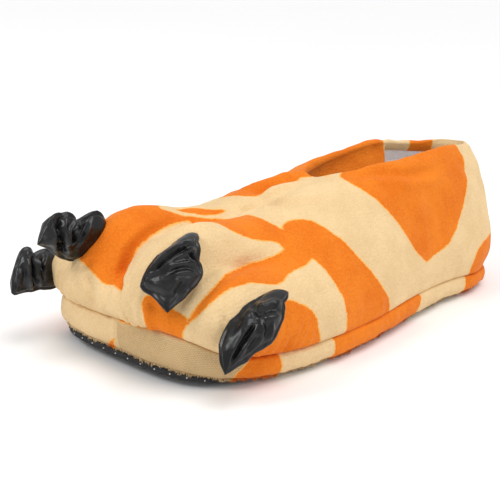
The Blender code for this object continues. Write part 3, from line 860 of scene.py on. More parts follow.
def to_loop(points, line):
    """Shortest distance in space from points to a closed line."""
    found = []
    for start in range(0, len(points), BLOCK):
        block = points[start:start + BLOCK]
        square = ((block[:, None, :] - line[None, :, :]) ** 2).sum(axis=2)
        near = square.argmin(axis=1)
        best = np.full(len(block), np.inf)
        for shift in (-1, 0):
            a = line[(near + shift) % len(line)]
            leg = line[(near + shift + 1) % len(line)] - a
            t = ((block - a) * leg).sum(axis=1) / np.maximum((leg**2).sum(axis=1), 1e-14)
            off = np.linalg.norm(block - a - np.clip(t, 0, 1)[:, None] * leg, axis=1)
            best = np.minimum(best, off)
        found.append(best)
    return np.concatenate(found)


def print_on(grid, patches):
    """Signed distance in millimetres to the print's edge, positive in orange. Patches join by
    the larger value."""
    rows, columns = grid.shape[:2]
    chart = np.meshgrid(turn_shares(columns), np.linspace(0, 1, rows), indexing="xy")
    chart = np.stack(chart, axis=-1).reshape(-1, 2)
    points = grid.reshape(-1, 3)
    value = np.full(len(points), -FAR_AWAY)
    for places in patches:
        turned = places.copy()
        jump = np.diff(turned[:, 0], prepend=turned[0, 0])
        turned[:, 0] -= np.cumsum(np.round(jump))
        loop = soft_loop(turned)
        line = on_grid(grid, loop)
        signed = np.full(len(points), -FAR_AWAY)
        for whole in (-1.0, 0.0, 1.0):
            moved = loop + (whole, 0.0)
            above, below = chart > moved.min(axis=0) - MARGIN, chart < moved.max(axis=0) + MARGIN
            near = (above & below).all(axis=1)
            if near.any():
                sign = np.where(inside_loop(chart[near], moved), 1.0, -1.0)
                away = np.minimum(to_loop(points[near], line), FAR_AWAY)
                signed[near] = np.maximum(signed[near], sign * away)
        value = np.maximum(value, signed)
    return value.reshape(rows, columns) * MM


skin_print = print_on(smooth_skin, PATCHES)
print("orange share of the skin:", round(float((skin_print > 0).mean()), 2))

# %% [markdown]
# Every soft piece here is a grid of points whose rows are closed rings and whose last row joins
# its first, so a shell is closed by its own layout. The faces are made with whole arrays, and
# the print's distance and a flat chart in metres go onto the points for the material to read.

# %% Meshes from grids
ROOT = "root"


def ring_faces(rows, columns, first=0, close_rows=False):
    """Quads between each ring and the next; with close_rows the last ring joins the first."""
    last = rows if close_rows else rows - 1
    row, column = np.meshgrid(np.arange(last), np.arange(columns), indexing="ij")
    following = (column + 1) % columns
    above = (row + 1) % rows
    quads = np.stack((
        row * columns + column,
        row * columns + following,
        above * columns + following,
        above * columns + column,
    ), axis=-1)
    return quads.reshape(-1, 4) + first


def rung_faces(first, columns, upwards):
    """Quads across a ring whose near and far points pair up, with a triangle at both ends."""
    half = columns // 2
    k = np.arange(1, half - 1)
    quads = np.stack((k, k + 1, columns - k - 1, columns - k), axis=-1)
    ends = np.array([(0, 1, columns - 1, columns - 1), (half - 1, half, half + 1, half + 1)])
    faces = np.vstack((ends[:1], quads, ends[1:])) + first
    return faces if upwards else faces[:, ::-1]


def new_piece(name, points, faces, material, body=ROOT):
    """A smooth mesh object from its points and its quads; a repeated corner is a triangle."""
    corners = [tuple(dict.fromkeys(face)) for face in faces.tolist()]
    mesh = bpy.data.meshes.new(name)
    mesh.from_pydata(points.tolist(), [], corners)
    mesh.shade_smooth()
    mesh.materials.append(material)
    piece = bpy.data.objects.new(name, mesh)
    bpy.context.scene.collection.objects.link(piece)
    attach(piece, body)
    print(name, "faces:", len(corners))
    return piece


def keep_value(piece, name, values):
    """Stores one number for each point of the piece for its material to read."""
    attribute = piece.data.attributes.new(name, "FLOAT", "POINT")
    attribute.data.foreach_set("value", np.ascontiguousarray(values, dtype=np.float32).ravel())


def keep_chart(piece, across, up):
    """Stores a flat chart in metres as the piece's UV map."""
    layer = piece.data.uv_layers.new(name="chart")
    corner = np.empty(len(piece.data.loops), dtype=np.int32)
    piece.data.loops.foreach_get("vertex_index", corner)
    chart = np.column_stack((across.ravel()[corner], up.ravel()[corner]))
    layer.data.foreach_set("uv", np.ascontiguousarray(chart, dtype=np.float32).ravel())


# %% [markdown]
# Plush is knitted cloth with a short dense pile. From a metre away one sees a fine grain, a pale
# bloom where the pile is seen edge on, and slow light and dark areas where the nap was stroked.
# The grain and the strokes are one node group, used by the plush and the fleece alike.

# %% Node helpers
def add_node(tree, kind, inputs=(), **settings):
    """A node with its settings made and its inputs set or linked."""
    made = tree.nodes.new(kind)
    for key, value in settings.items():
        setattr(made, key, value)
    for key, value in dict(inputs).items():
        if isinstance(value, bpy.types.NodeSocket):
            tree.links.new(value, made.inputs[key])
        else:
            made.inputs[key].default_value = value
    return made


def new_group(name, inputs, outputs):
    """A shader node group with float inputs (name, default) and outputs (name, socket type)."""
    group = bpy.data.node_groups.new(name, "ShaderNodeTree")
    for socket_name, default in inputs:
        socket = group.interface.new_socket(socket_name, in_out="INPUT", socket_type="NodeSocketFloat")
        socket.default_value = default
    for socket_name, socket_type in outputs:
        group.interface.new_socket(socket_name, in_out="OUTPUT", socket_type=socket_type)
    return group, group.nodes.new("NodeGroupInput"), group.nodes.new("NodeGroupOutput")


def new_material(name, roughness):
    """A material with its Principled shader ready."""
    material = bpy.data.materials.new(name)
    material.use_nodes = True
    shader = material.node_tree.nodes["Principled BSDF"]
    shader.inputs["Roughness"].default_value = roughness
    return material, material.node_tree, shader


def object_place(tree):
    """The point's own place in metres."""
    return add_node(tree, "ShaderNodeTexCoord").outputs["Object"]


def link_bump(tree, shader, height, strength, distance):
    """A bump on the shader's normal."""
    bump = add_node(tree, "ShaderNodeBump", {
        "Strength": strength, "Distance": distance, "Height": height})
    tree.links.new(bump.outputs["Normal"], shader.inputs["Normal"])
    return bump


# %% The pile group
def make_pile_group():
    """Height: two noises, one stretched along the nap. Shade: slow noise for stroked areas
    plus the fine noise, about 0.5 on average."""
    group, given, out = new_group(
        "pile",
        (("Grains per metre", 900.0), ("Strokes per metre", 45.0)),
        (("Height", "NodeSocketFloat"), ("Shade", "NodeSocketFloat")),
    )
    place = object_place(group)
    fine = add_node(group, "ShaderNodeTexNoise", {
        "Vector": place, "Scale": given.outputs["Grains per metre"], "Detail": 3.0, "Roughness": 0.6,
    })
    nap = add_node(group, "ShaderNodeMapping", {"Vector": place, "Scale": (1.0, 0.35, 1.0)})
    streak = add_node(group, "ShaderNodeTexNoise", {
        "Vector": nap.outputs["Vector"], "Scale": given.outputs["Grains per metre"], "Detail": 1.0,
    })
    slow = add_node(group, "ShaderNodeTexNoise", {
        "Vector": place, "Scale": given.outputs["Strokes per metre"], "Detail": 4.0, "Roughness": 0.55,
    })
    height = add_node(group, "ShaderNodeMath", {
        0: fine.outputs["Fac"], 1: streak.outputs["Fac"]}, operation="ADD")
    mixed = add_node(group, "ShaderNodeMix", {
        "Factor": 0.45, "A": slow.outputs["Fac"], "B": fine.outputs["Fac"]}, data_type="FLOAT")
    group.links.new(height.outputs[0], out.inputs["Height"])
    group.links.new(mixed.outputs["Result"], out.inputs["Shade"])
    return group


pile_group = make_pile_group()
print("node group:", pile_group.name)


# %% [markdown]
# The print's edge is read from the signed distance kept on the points. A little noise is added
# to it, because pile never cuts a line quite clean, and a colour ramp turns it into cream, a
# narrow pale yellow halo and orange. The cloth's knitted ground shows through where the pile is
# short, on one part of the band, so that part has rows of small stitches.

# %% Plush material
CREAM_DARK = (0.70, 0.49, 0.255, 1.0)
CREAM_LIGHT = (0.79, 0.575, 0.315, 1.0)
HALO = (0.84, 0.42, 0.10, 1.0)
ORANGE_DARK = (0.70, 0.155, 0.008, 1.0)
ORANGE_LIGHT = (0.80, 0.215, 0.016, 1.0)
HALO_HALF_WIDTH = 0.36
STITCH_ROWS = 1000.0
KNIT_GROUND = (0.56, 0.39, 0.19, 1.0)


def colour_mix(tree, factor, first, second, blend="MIX"):
    """A colour mix node's result."""
    mix = tree.nodes.new("ShaderNodeMix")
    mix.data_type = "RGBA"
    mix.blend_type = blend
    for key, value in ((0, factor), (6, first), (7, second)):
        if isinstance(value, bpy.types.NodeSocket):
            tree.links.new(value, mix.inputs[key])
        else:
            mix.inputs[key].default_value = value
    return mix.outputs[2]


def span(tree, value, low, high, to_low=0.0, to_high=1.0):
    """A value carried smoothly from one range to another and held at its ends."""
    return add_node(tree, "ShaderNodeMapRange", {
        "Value": value, "From Min": low, "From Max": high, "To Min": to_low, "To Max": to_high,
    }, interpolation_type="SMOOTHSTEP").outputs["Result"]


def noise_colours(tree, value, low, high, dark, light):
    """A colour that runs from dark to light while the value runs from low to high."""
    return colour_mix(tree, span(tree, value, low, high), (*dark, 1.0), (*light, 1.0))


def use_pile(tree, grains, strokes):
    """The pile group with its own values: its height, and its shade spread to the full range."""
    pile = add_node(tree, "ShaderNodeGroup", node_tree=pile_group)
    pile.inputs["Grains per metre"].default_value = grains
    pile.inputs["Strokes per metre"].default_value = strokes
    return pile.outputs["Height"], span(tree, pile.outputs["Shade"], 0.36, 0.62)


def make_plush():
    """Cream, halo and orange by the print's distance, each lighter and darker by the pile."""
    material, tree, shader = new_material("plush", 0.92)
    pile_height, shade = use_pile(tree, 850.0, 42.0)
    edge = add_node(tree, "ShaderNodeAttribute", attribute_name="print").outputs["Fac"]
    waver = span(tree, pile_height, 0.7, 1.3, -0.30, 0.30)
    edge = add_node(tree, "ShaderNodeMath", {0: edge, 1: waver}, operation="ADD").outputs[0]
    cream = colour_mix(tree, shade, CREAM_DARK, CREAM_LIGHT)
    orange = colour_mix(tree, shade, ORANGE_DARK, ORANGE_LIGHT)
    knit = add_node(tree, "ShaderNodeAttribute", attribute_name="knit").outputs["Fac"]
    chart = add_node(tree, "ShaderNodeUVMap", uv_map="chart").outputs["UV"]
    stitches = add_node(tree, "ShaderNodeTexBrick", {
        "Vector": chart, "Scale": STITCH_ROWS, "Mortar Size": 0.18, "Brick Width": 1.2,
        "Row Height": 0.9, "Color1": (1.0, 1.0, 1.0, 1.0), "Color2": (0.85, 0.85, 0.85, 1.0),
        "Mortar": (0.25, 0.22, 0.18, 1.0)})
    ground = colour_mix(tree, shade, KNIT_GROUND, CREAM_DARK)
    ground = colour_mix(tree, 0.35, ground, stitches.outputs["Color"], blend="MULTIPLY")
    cream = colour_mix(tree, knit, cream, ground)
    to_halo = colour_mix(tree, span(tree, edge, -2 * HALO_HALF_WIDTH, -HALO_HALF_WIDTH * 0.4), cream, HALO)
    whole = colour_mix(tree, span(tree, edge, 0.0, 1.6 * HALO_HALF_WIDTH), to_halo, orange)
    tree.links.new(whole, shader.inputs["Base Color"])
    stitch_height = add_node(tree, "ShaderNodeMath", {
        0: stitches.outputs["Color"], 1: knit}, operation="MULTIPLY").outputs[0]
    relief = add_node(tree, "ShaderNodeMath", {
        0: pile_height, 1: stitch_height}, operation="ADD").outputs[0]
    link_bump(tree, shader, relief, 0.55, 0.0006)
    shader.inputs["Specular IOR Level"].default_value = 0.15
    shader.inputs["Sheen Weight"].default_value = 0.14
    shader.inputs["Sheen Roughness"].default_value = 0.35
    shader.inputs["Sheen Tint"].default_value = (1.0, 0.84, 0.60, 1.0)
    return material


plush = make_plush()


# %% Fleece, vinyl and sole materials
def make_fleece():
    """White fleece: soft curls from a coarse pile."""
    material, tree, shader = new_material("fleece", 0.95)
    pile_height, shade = use_pile(tree, 520.0, 60.0)
    colour = colour_mix(tree, shade, (0.86, 0.84, 0.85, 1.0), (0.97, 0.95, 0.95, 1.0))
    tree.links.new(colour, shader.inputs["Base Color"])
    link_bump(tree, shader, pile_height, 0.7, 0.0010)
    shader.inputs["Sheen Weight"].default_value = 0.3
    return material


def make_vinyl():
    """Black coated cloth: fine pebbled grain, small dull creases, a clear gloss on top."""
    material, tree, shader = new_material("claw_vinyl", 0.28)
    place = object_place(tree)
    pebble = add_node(tree, "ShaderNodeTexVoronoi", {"Vector": place, "Scale": 1300.0})
    crinkle = add_node(tree, "ShaderNodeTexNoise", {
        "Vector": place, "Scale": 110.0, "Detail": 4.0, "Roughness": 0.5, "Distortion": 0.8})
    dark, light = (0.004, 0.004, 0.0045), (0.010, 0.010, 0.011)
    colour = noise_colours(tree, crinkle.outputs["Fac"], 0.35, 0.7, dark, light)
    tree.links.new(colour, shader.inputs["Base Color"])
    tree.links.new(span(tree, crinkle.outputs["Fac"], 0.3, 0.7, 0.20, 0.36), shader.inputs["Roughness"])
    relief = add_node(tree, "ShaderNodeMath", {
        0: pebble.outputs["Distance"], 1: 0.12, 2: crinkle.outputs["Fac"]}, operation="MULTIPLY_ADD")
    link_bump(tree, shader, relief.outputs[0], 0.16, 0.0010)
    shader.inputs["Specular IOR Level"].default_value = 0.30
    shader.inputs["Coat Weight"].default_value = 0.12
    shader.inputs["Coat Roughness"].default_value = 0.10
    return material


def make_sole_cloth():
    """Black knitted sole cloth with a close weave."""
    material, tree, shader = new_material("sole_cloth", 0.85)
    place = object_place(tree)
    weave = add_node(tree, "ShaderNodeTexVoronoi", {"Vector": place, "Scale": 1100.0})
    pale, dark = (0.030, 0.030, 0.033), (0.010, 0.010, 0.011)
    colour = noise_colours(tree, weave.outputs["Distance"], 0.1, 0.7, pale, dark)
    tree.links.new(colour, shader.inputs["Base Color"])
    link_bump(tree, shader, weave.outputs["Distance"], 0.6, 0.0005).invert = True
    return material


def make_dot_rubber():
    """Milky non-slip dots, a little dirty in places."""
    material, tree, shader = new_material("dot_rubber", 0.4)
    place = object_place(tree)
    dirt = add_node(tree, "ShaderNodeTexNoise", {"Vector": place, "Scale": 120.0, "Detail": 3.0})
    colour = noise_colours(tree, dirt.outputs["Fac"], 0.35, 0.7, (0.62, 0.62, 0.62), (0.80, 0.80, 0.79))
    tree.links.new(colour, shader.inputs["Base Color"])
    return material


fleece = make_fleece()
vinyl = make_vinyl()
sole_cloth = make_sole_cloth()
dot_rubber = make_dot_rubber()
print("materials:", [material.name for material in (plush, fleece, vinyl, sole_cloth, dot_rubber)])


# %% [markdown]
# The upper is made as two closed shells, one inside the other: the plush outside with its rim
# rolled over into the opening, and the fleece lining inside. Both stay open at the collar and
# underneath, like the real upper. Simulation was left out here: the folds are moved in code,
# because they then fall where the picture shows them and come out the same on every run.

# %% The plush shell of the upper
LINING_THICK = 0.0012
LAYER_GAP = 0.0002
SPARE = 0.0010
CUFF_DEPTH = 0.005
CUFF_DEEP = 0.034
CUFF_FULLNESS = 0.0065
FAR_FULLNESS = 0.0190
FAR_PUFF_ARC = (-0.170, -0.060)
RIM_STEPS = 7
CUFF_STEPS = 12
BACK_STEPS = 8
PINCH_ARC = -0.281


def inner_skin(share_thick):
    """The smooth form moved inwards by a share of the wall; the wall is thicker in the stuffed
    toes, where the valleys need room."""
    thick = WALL + skin_crease + skin_window * TOE_VALLEY_DEPTH
    thick = np.maximum(thick, skin_pulled + LINING_THICK + LAYER_GAP + SPARE)
    direction = skin_direction.copy()
    direction[0] = np.column_stack((seam_normal, np.zeros(SKIN_COLUMNS)))
    return smooth_skin - direction * (thick * share_thick)[:, :, None]


def down_rows(depths, rows):
    """Row shares that lie the given depths in metres below the rim, one set for each column."""
    step = np.linalg.norm(np.diff(smooth_skin, axis=0), axis=2)
    length = step.sum(axis=0)
    return 1.0 - np.linspace(0.0, 1.0, rows)[:, None] * (depths / length)[None, :]


def read_columns(grid, shares):
    """Points of each column at its own row shares, by straight steps between rows."""
    place = np.clip(shares, 0.0, 1.0) * (len(grid) - 1)
    low = np.clip(place.astype(int), 0, len(grid) - 2)
    rise = (place - low)[:, :, None]
    column = np.arange(grid.shape[1])[None, :]
    return grid[low, column] * (1 - rise) + grid[low + 1, column] * rise


def cuff_depths(arc):
    """The plush is turned far in on the far front of the collar and only a little elsewhere."""
    deep = smoothstep(PINCH_ARC - 0.003, PINCH_ARC + 0.004, arc) * (1.0 - smoothstep(-0.012, 0.02, arc))
    return CUFF_DEPTH + (CUFF_DEEP - CUFF_DEPTH) * deep


def plush_shell():
    """Rows: skin from the seam to the rim, half a circle over the rim, the cuff down the inside
    with a sine-shaped fullness, then back down the hidden side to the seam."""
    wall_inside = inner_skin(1.0)
    hidden_side = inner_skin(1.0) + skin_direction * (LINING_THICK + LAYER_GAP)
    rim_outer, rim_inner = skin[-1], wall_inside[-1]
    rim_up = skin[-1] - skin[-4]
    rim_up = unit(rim_up)
    middle = (rim_outer + rim_inner) / 2
    reach = (rim_outer - rim_inner) / 2
    angle = np.linspace(0.0, np.pi, RIM_STEPS + 2)[1:-1, None, None]
    radius = np.linalg.norm(reach, axis=1)[:, None]
    roll = middle + reach * np.cos(angle) + rim_up * radius * np.sin(angle) * 0.8
    shares = down_rows(cuff_depths(skin_arc), CUFF_STEPS)
    cuff = read_columns(wall_inside, shares)
    inward = -read_columns(skin_direction, shares)
    full = np.sin(np.pi * np.linspace(0.0, 1.0, CUFF_STEPS))
    puff = CUFF_FULLNESS + (FAR_FULLNESS - CUFF_FULLNESS) * (1.0 - smoothstep(*FAR_PUFF_ARC, skin_arc))
    deep = (cuff_depths(skin_arc) - CUFF_DEPTH) / (CUFF_DEEP - CUFF_DEPTH)
    cuff = cuff + inward * (full[:, None] * (0.0006 + (puff * deep)[None, :]))[:, :, None]
    start = shares[-1]
    back = read_columns(hidden_side, start[None, :] * np.linspace(1.0, 0.0, BACK_STEPS)[:, None])
    return np.concatenate((skin, roll, cuff, back))


shell = plush_shell()
upper_plush = new_piece(
    "upper_plush", shell.reshape(-1, 3), ring_faces(*shell.shape[:2], close_rows=True), plush
)
shell_print = np.concatenate((skin_print, np.repeat(skin_print[-1:], len(shell) - len(skin), axis=0)))
keep_value(upper_plush, "print", shell_print)
keep_value(upper_plush, "knit", np.zeros(shell.shape[:2]))
chart_up = np.arange(len(shell))[:, None] * 0.001 + np.zeros(SKIN_COLUMNS)
keep_chart(upper_plush, np.broadcast_to(skin_arc, shell.shape[:2]), chart_up)


# %% The fleece lining
LINING_COLUMNS = 320
LINING_ROWS = 44


def lining_shell():
    """The inner skin from under the cuff down to the insole, roughened by short waves, and a
    smooth back side a lining's thickness further out."""
    pick = slice(0, SKIN_COLUMNS, SKIN_COLUMNS // LINING_COLUMNS)
    front = inner_skin(1.0)[:, pick]
    direction = skin_direction[:, pick]
    arc = skin_arc[pick]
    length = np.linalg.norm(np.diff(smooth_skin[:, pick], axis=0), axis=2).sum(axis=0)
    top = 1.0 - (cuff_depths(arc) * 0.8) / length
    shares = top[None, :] * np.linspace(1.0, 0.0, LINING_ROWS)[:, None]
    face = read_columns(front, shares)
    way = read_columns(direction, shares)
    rough = 0.0004 * lumps(face, 0.006, 21) + 0.0005 * lumps(face, 0.016, 23)
    fade = np.minimum(1.0, np.linspace(0.0, 8.0, LINING_ROWS))[:, None]
    face = face - way * (rough * fade - LAYER_GAP)[:, :, None]
    back = read_columns(front, shares[::-4]) + read_columns(direction, shares[::-4]) * LINING_THICK
    return np.concatenate((face[::-1], back[::-1]))


lining = lining_shell()
upper_lining = new_piece(
    "upper_lining", lining.reshape(-1, 3), ring_faces(*lining.shape[:2], close_rows=True)[:, ::-1], fleece
)
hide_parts("upper")


# %% [markdown]
# The band is the plush cover of the platform. Its top edge dips into the seam and its lower edge
# turns under to the black sheet. It is pieced at the toe and the heel with upright joints. To
# the near side of the toe joint the cloth is cut so that its knitted ground shows.

# %% The plush band
BAND_COLUMNS = 640
BAND_ROWS = 26
BAND_FULLNESS = 0.0006
JOINT_ARCS = (0.0065, 0.3655)
JOINT_DEPTH = 0.0013
JOINT_WIDTH = 0.0009
# Each row: level of the height, inset as a share of SEAM_INSET.
BAND_PROFILE = (
    (0.00, 1.60),
    (0.16, 0.55),
    (0.45, 0.00),
    (0.75, 0.02),
    (0.93, 0.18),
    (1.00, 0.50),
)
SEAM_WAVE_FROM = 0.35


def band_grid():
    """Rings inset by the profile at each level between the black sheet's top and the seam."""
    rings = []
    for level in np.linspace(0.0, 1.0, BAND_ROWS):
        inset = SEAM_INSET * smooth_table(BAND_PROFILE, 1, np.array([level]))[0]
        ring, _, _ = outline(inset, BAND_COLUMNS)
        share = along(ring[:, 1])
        height = (outsole_top(share) + GAP) * (1 - level) + seam_height(share) * level
        height = height + seam_wave(band_arc) * smoothstep(SEAM_WAVE_FROM, 1.0, level)
        rings.append(np.column_stack((ring, height)))
    return np.array(rings)


_, _, band_arc = outline(0.0, BAND_COLUMNS)
band_plain = band_grid()
band_normal = grid_normals(band_plain)


def seen_band(*pixels):
    """Chart places on the band from pixels of the picture."""
    return seen_on(band_plain, band_normal, pixels)


def arcs_on_band(*places):
    """Chart places on the band from millimetres round it and a share of its height."""
    return by_arc(band_arc, places)


# %% The band's print, joints and ripples
BAND_PATCHES = (
    np.vstack((
        lifted(seen_band((227, 383)), -0.3),
        seen_band((237, 373), (247, 362)),
        lifted(seen_band((250, 358), (279, 361)), 1.3),
        lifted(seen_band((279.6, 379)), -0.3),
    )),
    np.vstack((
        lifted(seen_band((333, 359)), -0.3),
        lifted(seen_band((333, 344)), 1.3),
        lifted(seen_band((422, 299)), 1.3),
        seen_band((417, 309)),
        lifted(seen_band((408, 319)), -0.3),
    )),
    np.vstack((
        lifted(seen_band((464.5, 287)), -0.3),
        lifted(seen_band((466, 281)), 1.3),
        lifted(arcs_on_band((340, 1.0), (-340, 1.0), (-300, 1.0)), 1.3),
        lifted(arcs_on_band((-312, 0.0), (-345, 0.0), (340, 0.0)), -0.3),
    )),
    seen_band((115.8, 338), (116.6, 350), (107.5, 347)),
    np.vstack((
        arcs_on_band((7.5, 0.93), (27, 0.95)),
        lifted(arcs_on_band((29, 1.0), (7.5, 1.0)), 1.1),
    )),
    np.vstack((
        lifted(arcs_on_band((-110, 0.0), (-160, 0.0)), -0.3),
        lifted(arcs_on_band((-156, 1.0), (-112, 1.0)), 1.3),
    )),
    np.vstack((
        lifted(arcs_on_band((-214, 0.0), (-262, 0.0)), -0.3),
        lifted(arcs_on_band((-280, 1.0), (-212, 1.0)), 1.3),
    )),
    np.vstack((
        lifted(arcs_on_band((-58, 0.0), (-76, 0.0)), -0.3),
        lifted(arcs_on_band((-88, 1.0), (-60, 1.0)), 1.3),
    )),
)
level = np.linspace(0.0, 1.0, BAND_ROWS)[:, None]
joints = sum(np.exp(-(((band_arc - at) / JOINT_WIDTH) ** 2)) for at in JOINT_ARCS)[None, :]
band_rise = (
    BAND_FULLNESS * np.sin(np.pi * level) ** 0.5
    + 0.0004 * lumps(band_plain, 0.020, 31)
    + 0.0003 * lumps(band_plain, 0.008, 33)
    - JOINT_DEPTH * joints
)
band_rise = band_rise * smoothstep(0.0, 0.12, level) * (1.0 - smoothstep(0.9, 1.0, level))
band = band_plain + band_normal * band_rise[:, :, None]
band_print = print_on(band, BAND_PATCHES)
knit_reach = smoothstep(0.0065, 0.0070, band_arc) * (1.0 - smoothstep(0.084, 0.096, band_arc))
band_knit = knit_reach[None, :] * (1.0 - 0.6 * smoothstep(0.80, 1.0, level)) * np.ones_like(level)
faces = np.vstack((
    ring_faces(BAND_ROWS, BAND_COLUMNS),
    rung_faces(0, BAND_COLUMNS, upwards=False),
    rung_faces((BAND_ROWS - 1) * BAND_COLUMNS, BAND_COLUMNS, upwards=True),
))
band_plush = new_piece("band_plush", band.reshape(-1, 3), faces, plush)
keep_value(band_plush, "print", band_print)
keep_value(band_plush, "knit", band_knit)
keep_chart(band_plush, np.broadcast_to(band_arc, band.shape[:2]), band[:, :, 2])
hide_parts("midsole")


# %% [markdown]
# Where the band turns under, the pile is combed out over the black sheet in a ragged fringe. It
# is short, so each tuft is one bent spike with three sides, and only the places, lengths and
# bends differ. All of them are worked out in one go from a seeded list of random numbers.

# %% The fringe of pile under the band
FRINGE_TUFTS = 5200
FRINGE_LEVEL = 0.10
FRINGE_LENGTH = 0.0019
FRINGE_WIDTH = 0.00034


def spokes(first, second, turns):
    """Unit vectors at the given turns between two directions, for each row of directions."""
    return (
        first[:, None, :] * np.cos(turns)[None, :, None]
        + second[:, None, :] * np.sin(turns)[None, :, None]
    )


def fringe_blades():
    """Root on the band's lower edge, a middle point out along the normal and down, and a tip
    further down: a three-cornered base, a smaller one at the middle, and all closed at the tip."""
    rng = np.random.default_rng(77)
    turn = rng.uniform(-0.5, 0.5, FRINGE_TUFTS)
    up = FRINGE_LEVEL * rng.uniform(0.0, 1.0, FRINGE_TUFTS) ** 1.5
    places = np.column_stack((turn, up))
    root = on_grid(band, places)
    out = on_grid(grid_normals(band), places)
    out = unit(out)
    side = on_grid(band, places + (0.0005, 0.0)) - on_grid(band, places - (0.0005, 0.0))
    side = unit(side)
    clump = 0.75 + 0.45 * np.sin(turn * 2 * np.pi * 61) * np.sin(turn * 2 * np.pi * 37 + 1.0)
    length = FRINGE_LENGTH * clump * rng.uniform(0.5, 1.15, FRINGE_TUFTS)
    down = np.array((0.0, 0.0, -1.0))
    lean = side * rng.normal(0.0, 0.35, FRINGE_TUFTS)[:, None]
    middle = root + (out * 0.30 + down * 0.45 + lean * 0.3) * length[:, None]
    tip = root + (out * 0.26 + down * 0.95 + lean) * length[:, None]
    tip[:, 2] = np.maximum(tip[:, 2], 0.0003)
    root = root - out * 0.0003
    axis = unit(middle - root)
    across = np.cross(axis, side)
    across = unit(across)
    along_edge = np.cross(across, axis)
    turns = np.array((0.0, 2.0, 4.0)) * np.pi / 3
    corner = spokes(along_edge, across, turns) * (FRINGE_WIDTH / 2)
    points = np.concatenate((root[:, None] + corner, middle[:, None] + corner * 0.8, tip[:, None]), axis=1)
    pattern = np.array((
        (0, 1, 4, 3), (1, 2, 5, 4), (2, 0, 3, 5), (3, 4, 6, 6), (4, 5, 6, 6), (5, 3, 6, 6), (2, 1, 0, 0),
    ))
    faces = pattern[None] + (np.arange(FRINGE_TUFTS) * 7)[:, None, None]
    column = np.mod(np.round(turn * BAND_COLUMNS).astype(int), BAND_COLUMNS)
    return points.reshape(-1, 3), faces.reshape(-1, 4), band_print[2, column]


points, faces, tuft_print = fringe_blades()
band_fringe = new_piece("band_fringe", points, faces, plush)
keep_value(band_fringe, "print", np.repeat(tuft_print, 7))
keep_value(band_fringe, "knit", np.zeros(len(points)))
keep_chart(band_fringe, points[:, 0], points[:, 2])


# %% [markdown]
# The sole is a black knitted sheet with small milky dots that keep the wearer from slipping. It
# curls up over the toe, where one row of dots shows in the picture. The sheet is drawn a dot's
# height above the floor, and the dots reach down to it. Each dot is a dome of a few faces.

# %% The dotted sole
DOT_HEIGHT = 0.0004
DOT_RADIUS = 0.0007
EDGE_DOT_SHARE = 0.62
DOT_PITCH = 0.0092
DOT_SIDES = 10
DOT_MARGIN = 0.0035
SOLE_COLUMNS = 320
EDGE_DOT_LEVEL = 0.45
EDGE_DOT_REACH = 0.090
LEAST_EDGE_HEIGHT = 3.2 * DOT_RADIUS
FINE_RING = 2000
STAGGER = 0.866


def sole_inset(share):
    """How far the black sheet's edge stays inside the outline."""
    back = smoothstep(0.02, 0.20, share)
    return OUTSOLE_TOE_INSET + (OUTSOLE_INSET - OUTSOLE_TOE_INSET) * back


def sole_ring(extra, low, columns=SOLE_COLUMNS):
    """A ring of the sheet: low is 0 on its top edge and 1 on its underside."""
    ring, _, _ = outline(lambda share: sole_inset(share) + extra, columns)
    share = along(ring[:, 1])
    bottom = floor_line(share) + DOT_HEIGHT
    return np.column_stack((ring, bottom * low + outsole_top(share) * (1 - low)))


EDGE_ROUND = ((1.0, 1.0), (0.55, 0.93), (0.2, 0.80), (0.0, 0.6), (0.0, 0.3), (0.0, 0.0))
sheet_rings = np.array([sole_ring(OUTSOLE_EDGE_ROUND * inset, low) for inset, low in EDGE_ROUND])
faces = np.vstack((
    ring_faces(len(sheet_rings), SOLE_COLUMNS),
    rung_faces(0, SOLE_COLUMNS, upwards=False),
    rung_faces((len(sheet_rings) - 1) * SOLE_COLUMNS, SOLE_COLUMNS, upwards=True),
))
outsole_sheet = new_piece("outsole_sheet", sheet_rings.reshape(-1, 3), faces, sole_cloth)
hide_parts("outsole")


# %% The dots
def domes(places, outward, radius, height, sides):
    """Low domes: a ring at the base and a ring at 0.6 of the radius under one top point, all
    turned so that their axis is the outward direction."""
    helper = np.where(np.abs(outward[:, 2:3]) > 0.9, (1.0, 0.0, 0.0), (0.0, 0.0, 1.0))
    first = np.cross(outward, helper)
    first = unit(first)
    second = np.cross(outward, first)
    turn = np.linspace(0.0, 2 * np.pi, sides, endpoint=False)
    circle = spokes(first, second, turn) * radius[:, :, None]
    base = places[:, None, :] + circle - outward[:, None, :] * height * 0.3
    crown = places[:, None, :] + circle * 0.62 + outward[:, None, :] * height * 0.85
    top = places + outward * height
    bottom = places - outward * height * 0.3
    points = np.concatenate((base, crown, top[:, None, :], bottom[:, None, :]), axis=1)
    k = np.arange(sides)
    following = (k + 1) % sides
    wall = np.column_stack((k, following, sides + following, sides + k))
    summit, base_point = np.full(sides, 2 * sides), np.full(sides, 2 * sides + 1)
    cap = np.column_stack((sides + k, sides + following, summit, summit))
    under = np.column_stack((following, k, base_point, base_point))
    pattern = np.vstack((wall, cap, under))
    faces = pattern[None] + (np.arange(len(places)) * (2 * sides + 2))[:, None, None]
    return points.reshape(-1, 3), faces.reshape(-1, 4)


def dots_under():
    """A staggered field of places inside the sheet's underside."""
    count_x = int(BALL_WIDTH / DOT_PITCH) + 4
    count_y = int(SHOE_LENGTH / (DOT_PITCH * STAGGER)) + 4
    column, row = np.meshgrid(np.arange(count_x), np.arange(count_y), indexing="ij")
    x = ((column + 0.5 * (row % 2)) - count_x / 2) * DOT_PITCH
    y = (row - count_y / 2) * DOT_PITCH * STAGGER
    plan = np.column_stack((x.ravel(), y.ravel()))
    rim, _, _ = outline(lambda share: sole_inset(share) + DOT_MARGIN, 160)
    plan = plan[inside_loop(plan, rim)]
    height = floor_line(along(plan[:, 1])) + DOT_HEIGHT
    return np.column_stack((plan, height))


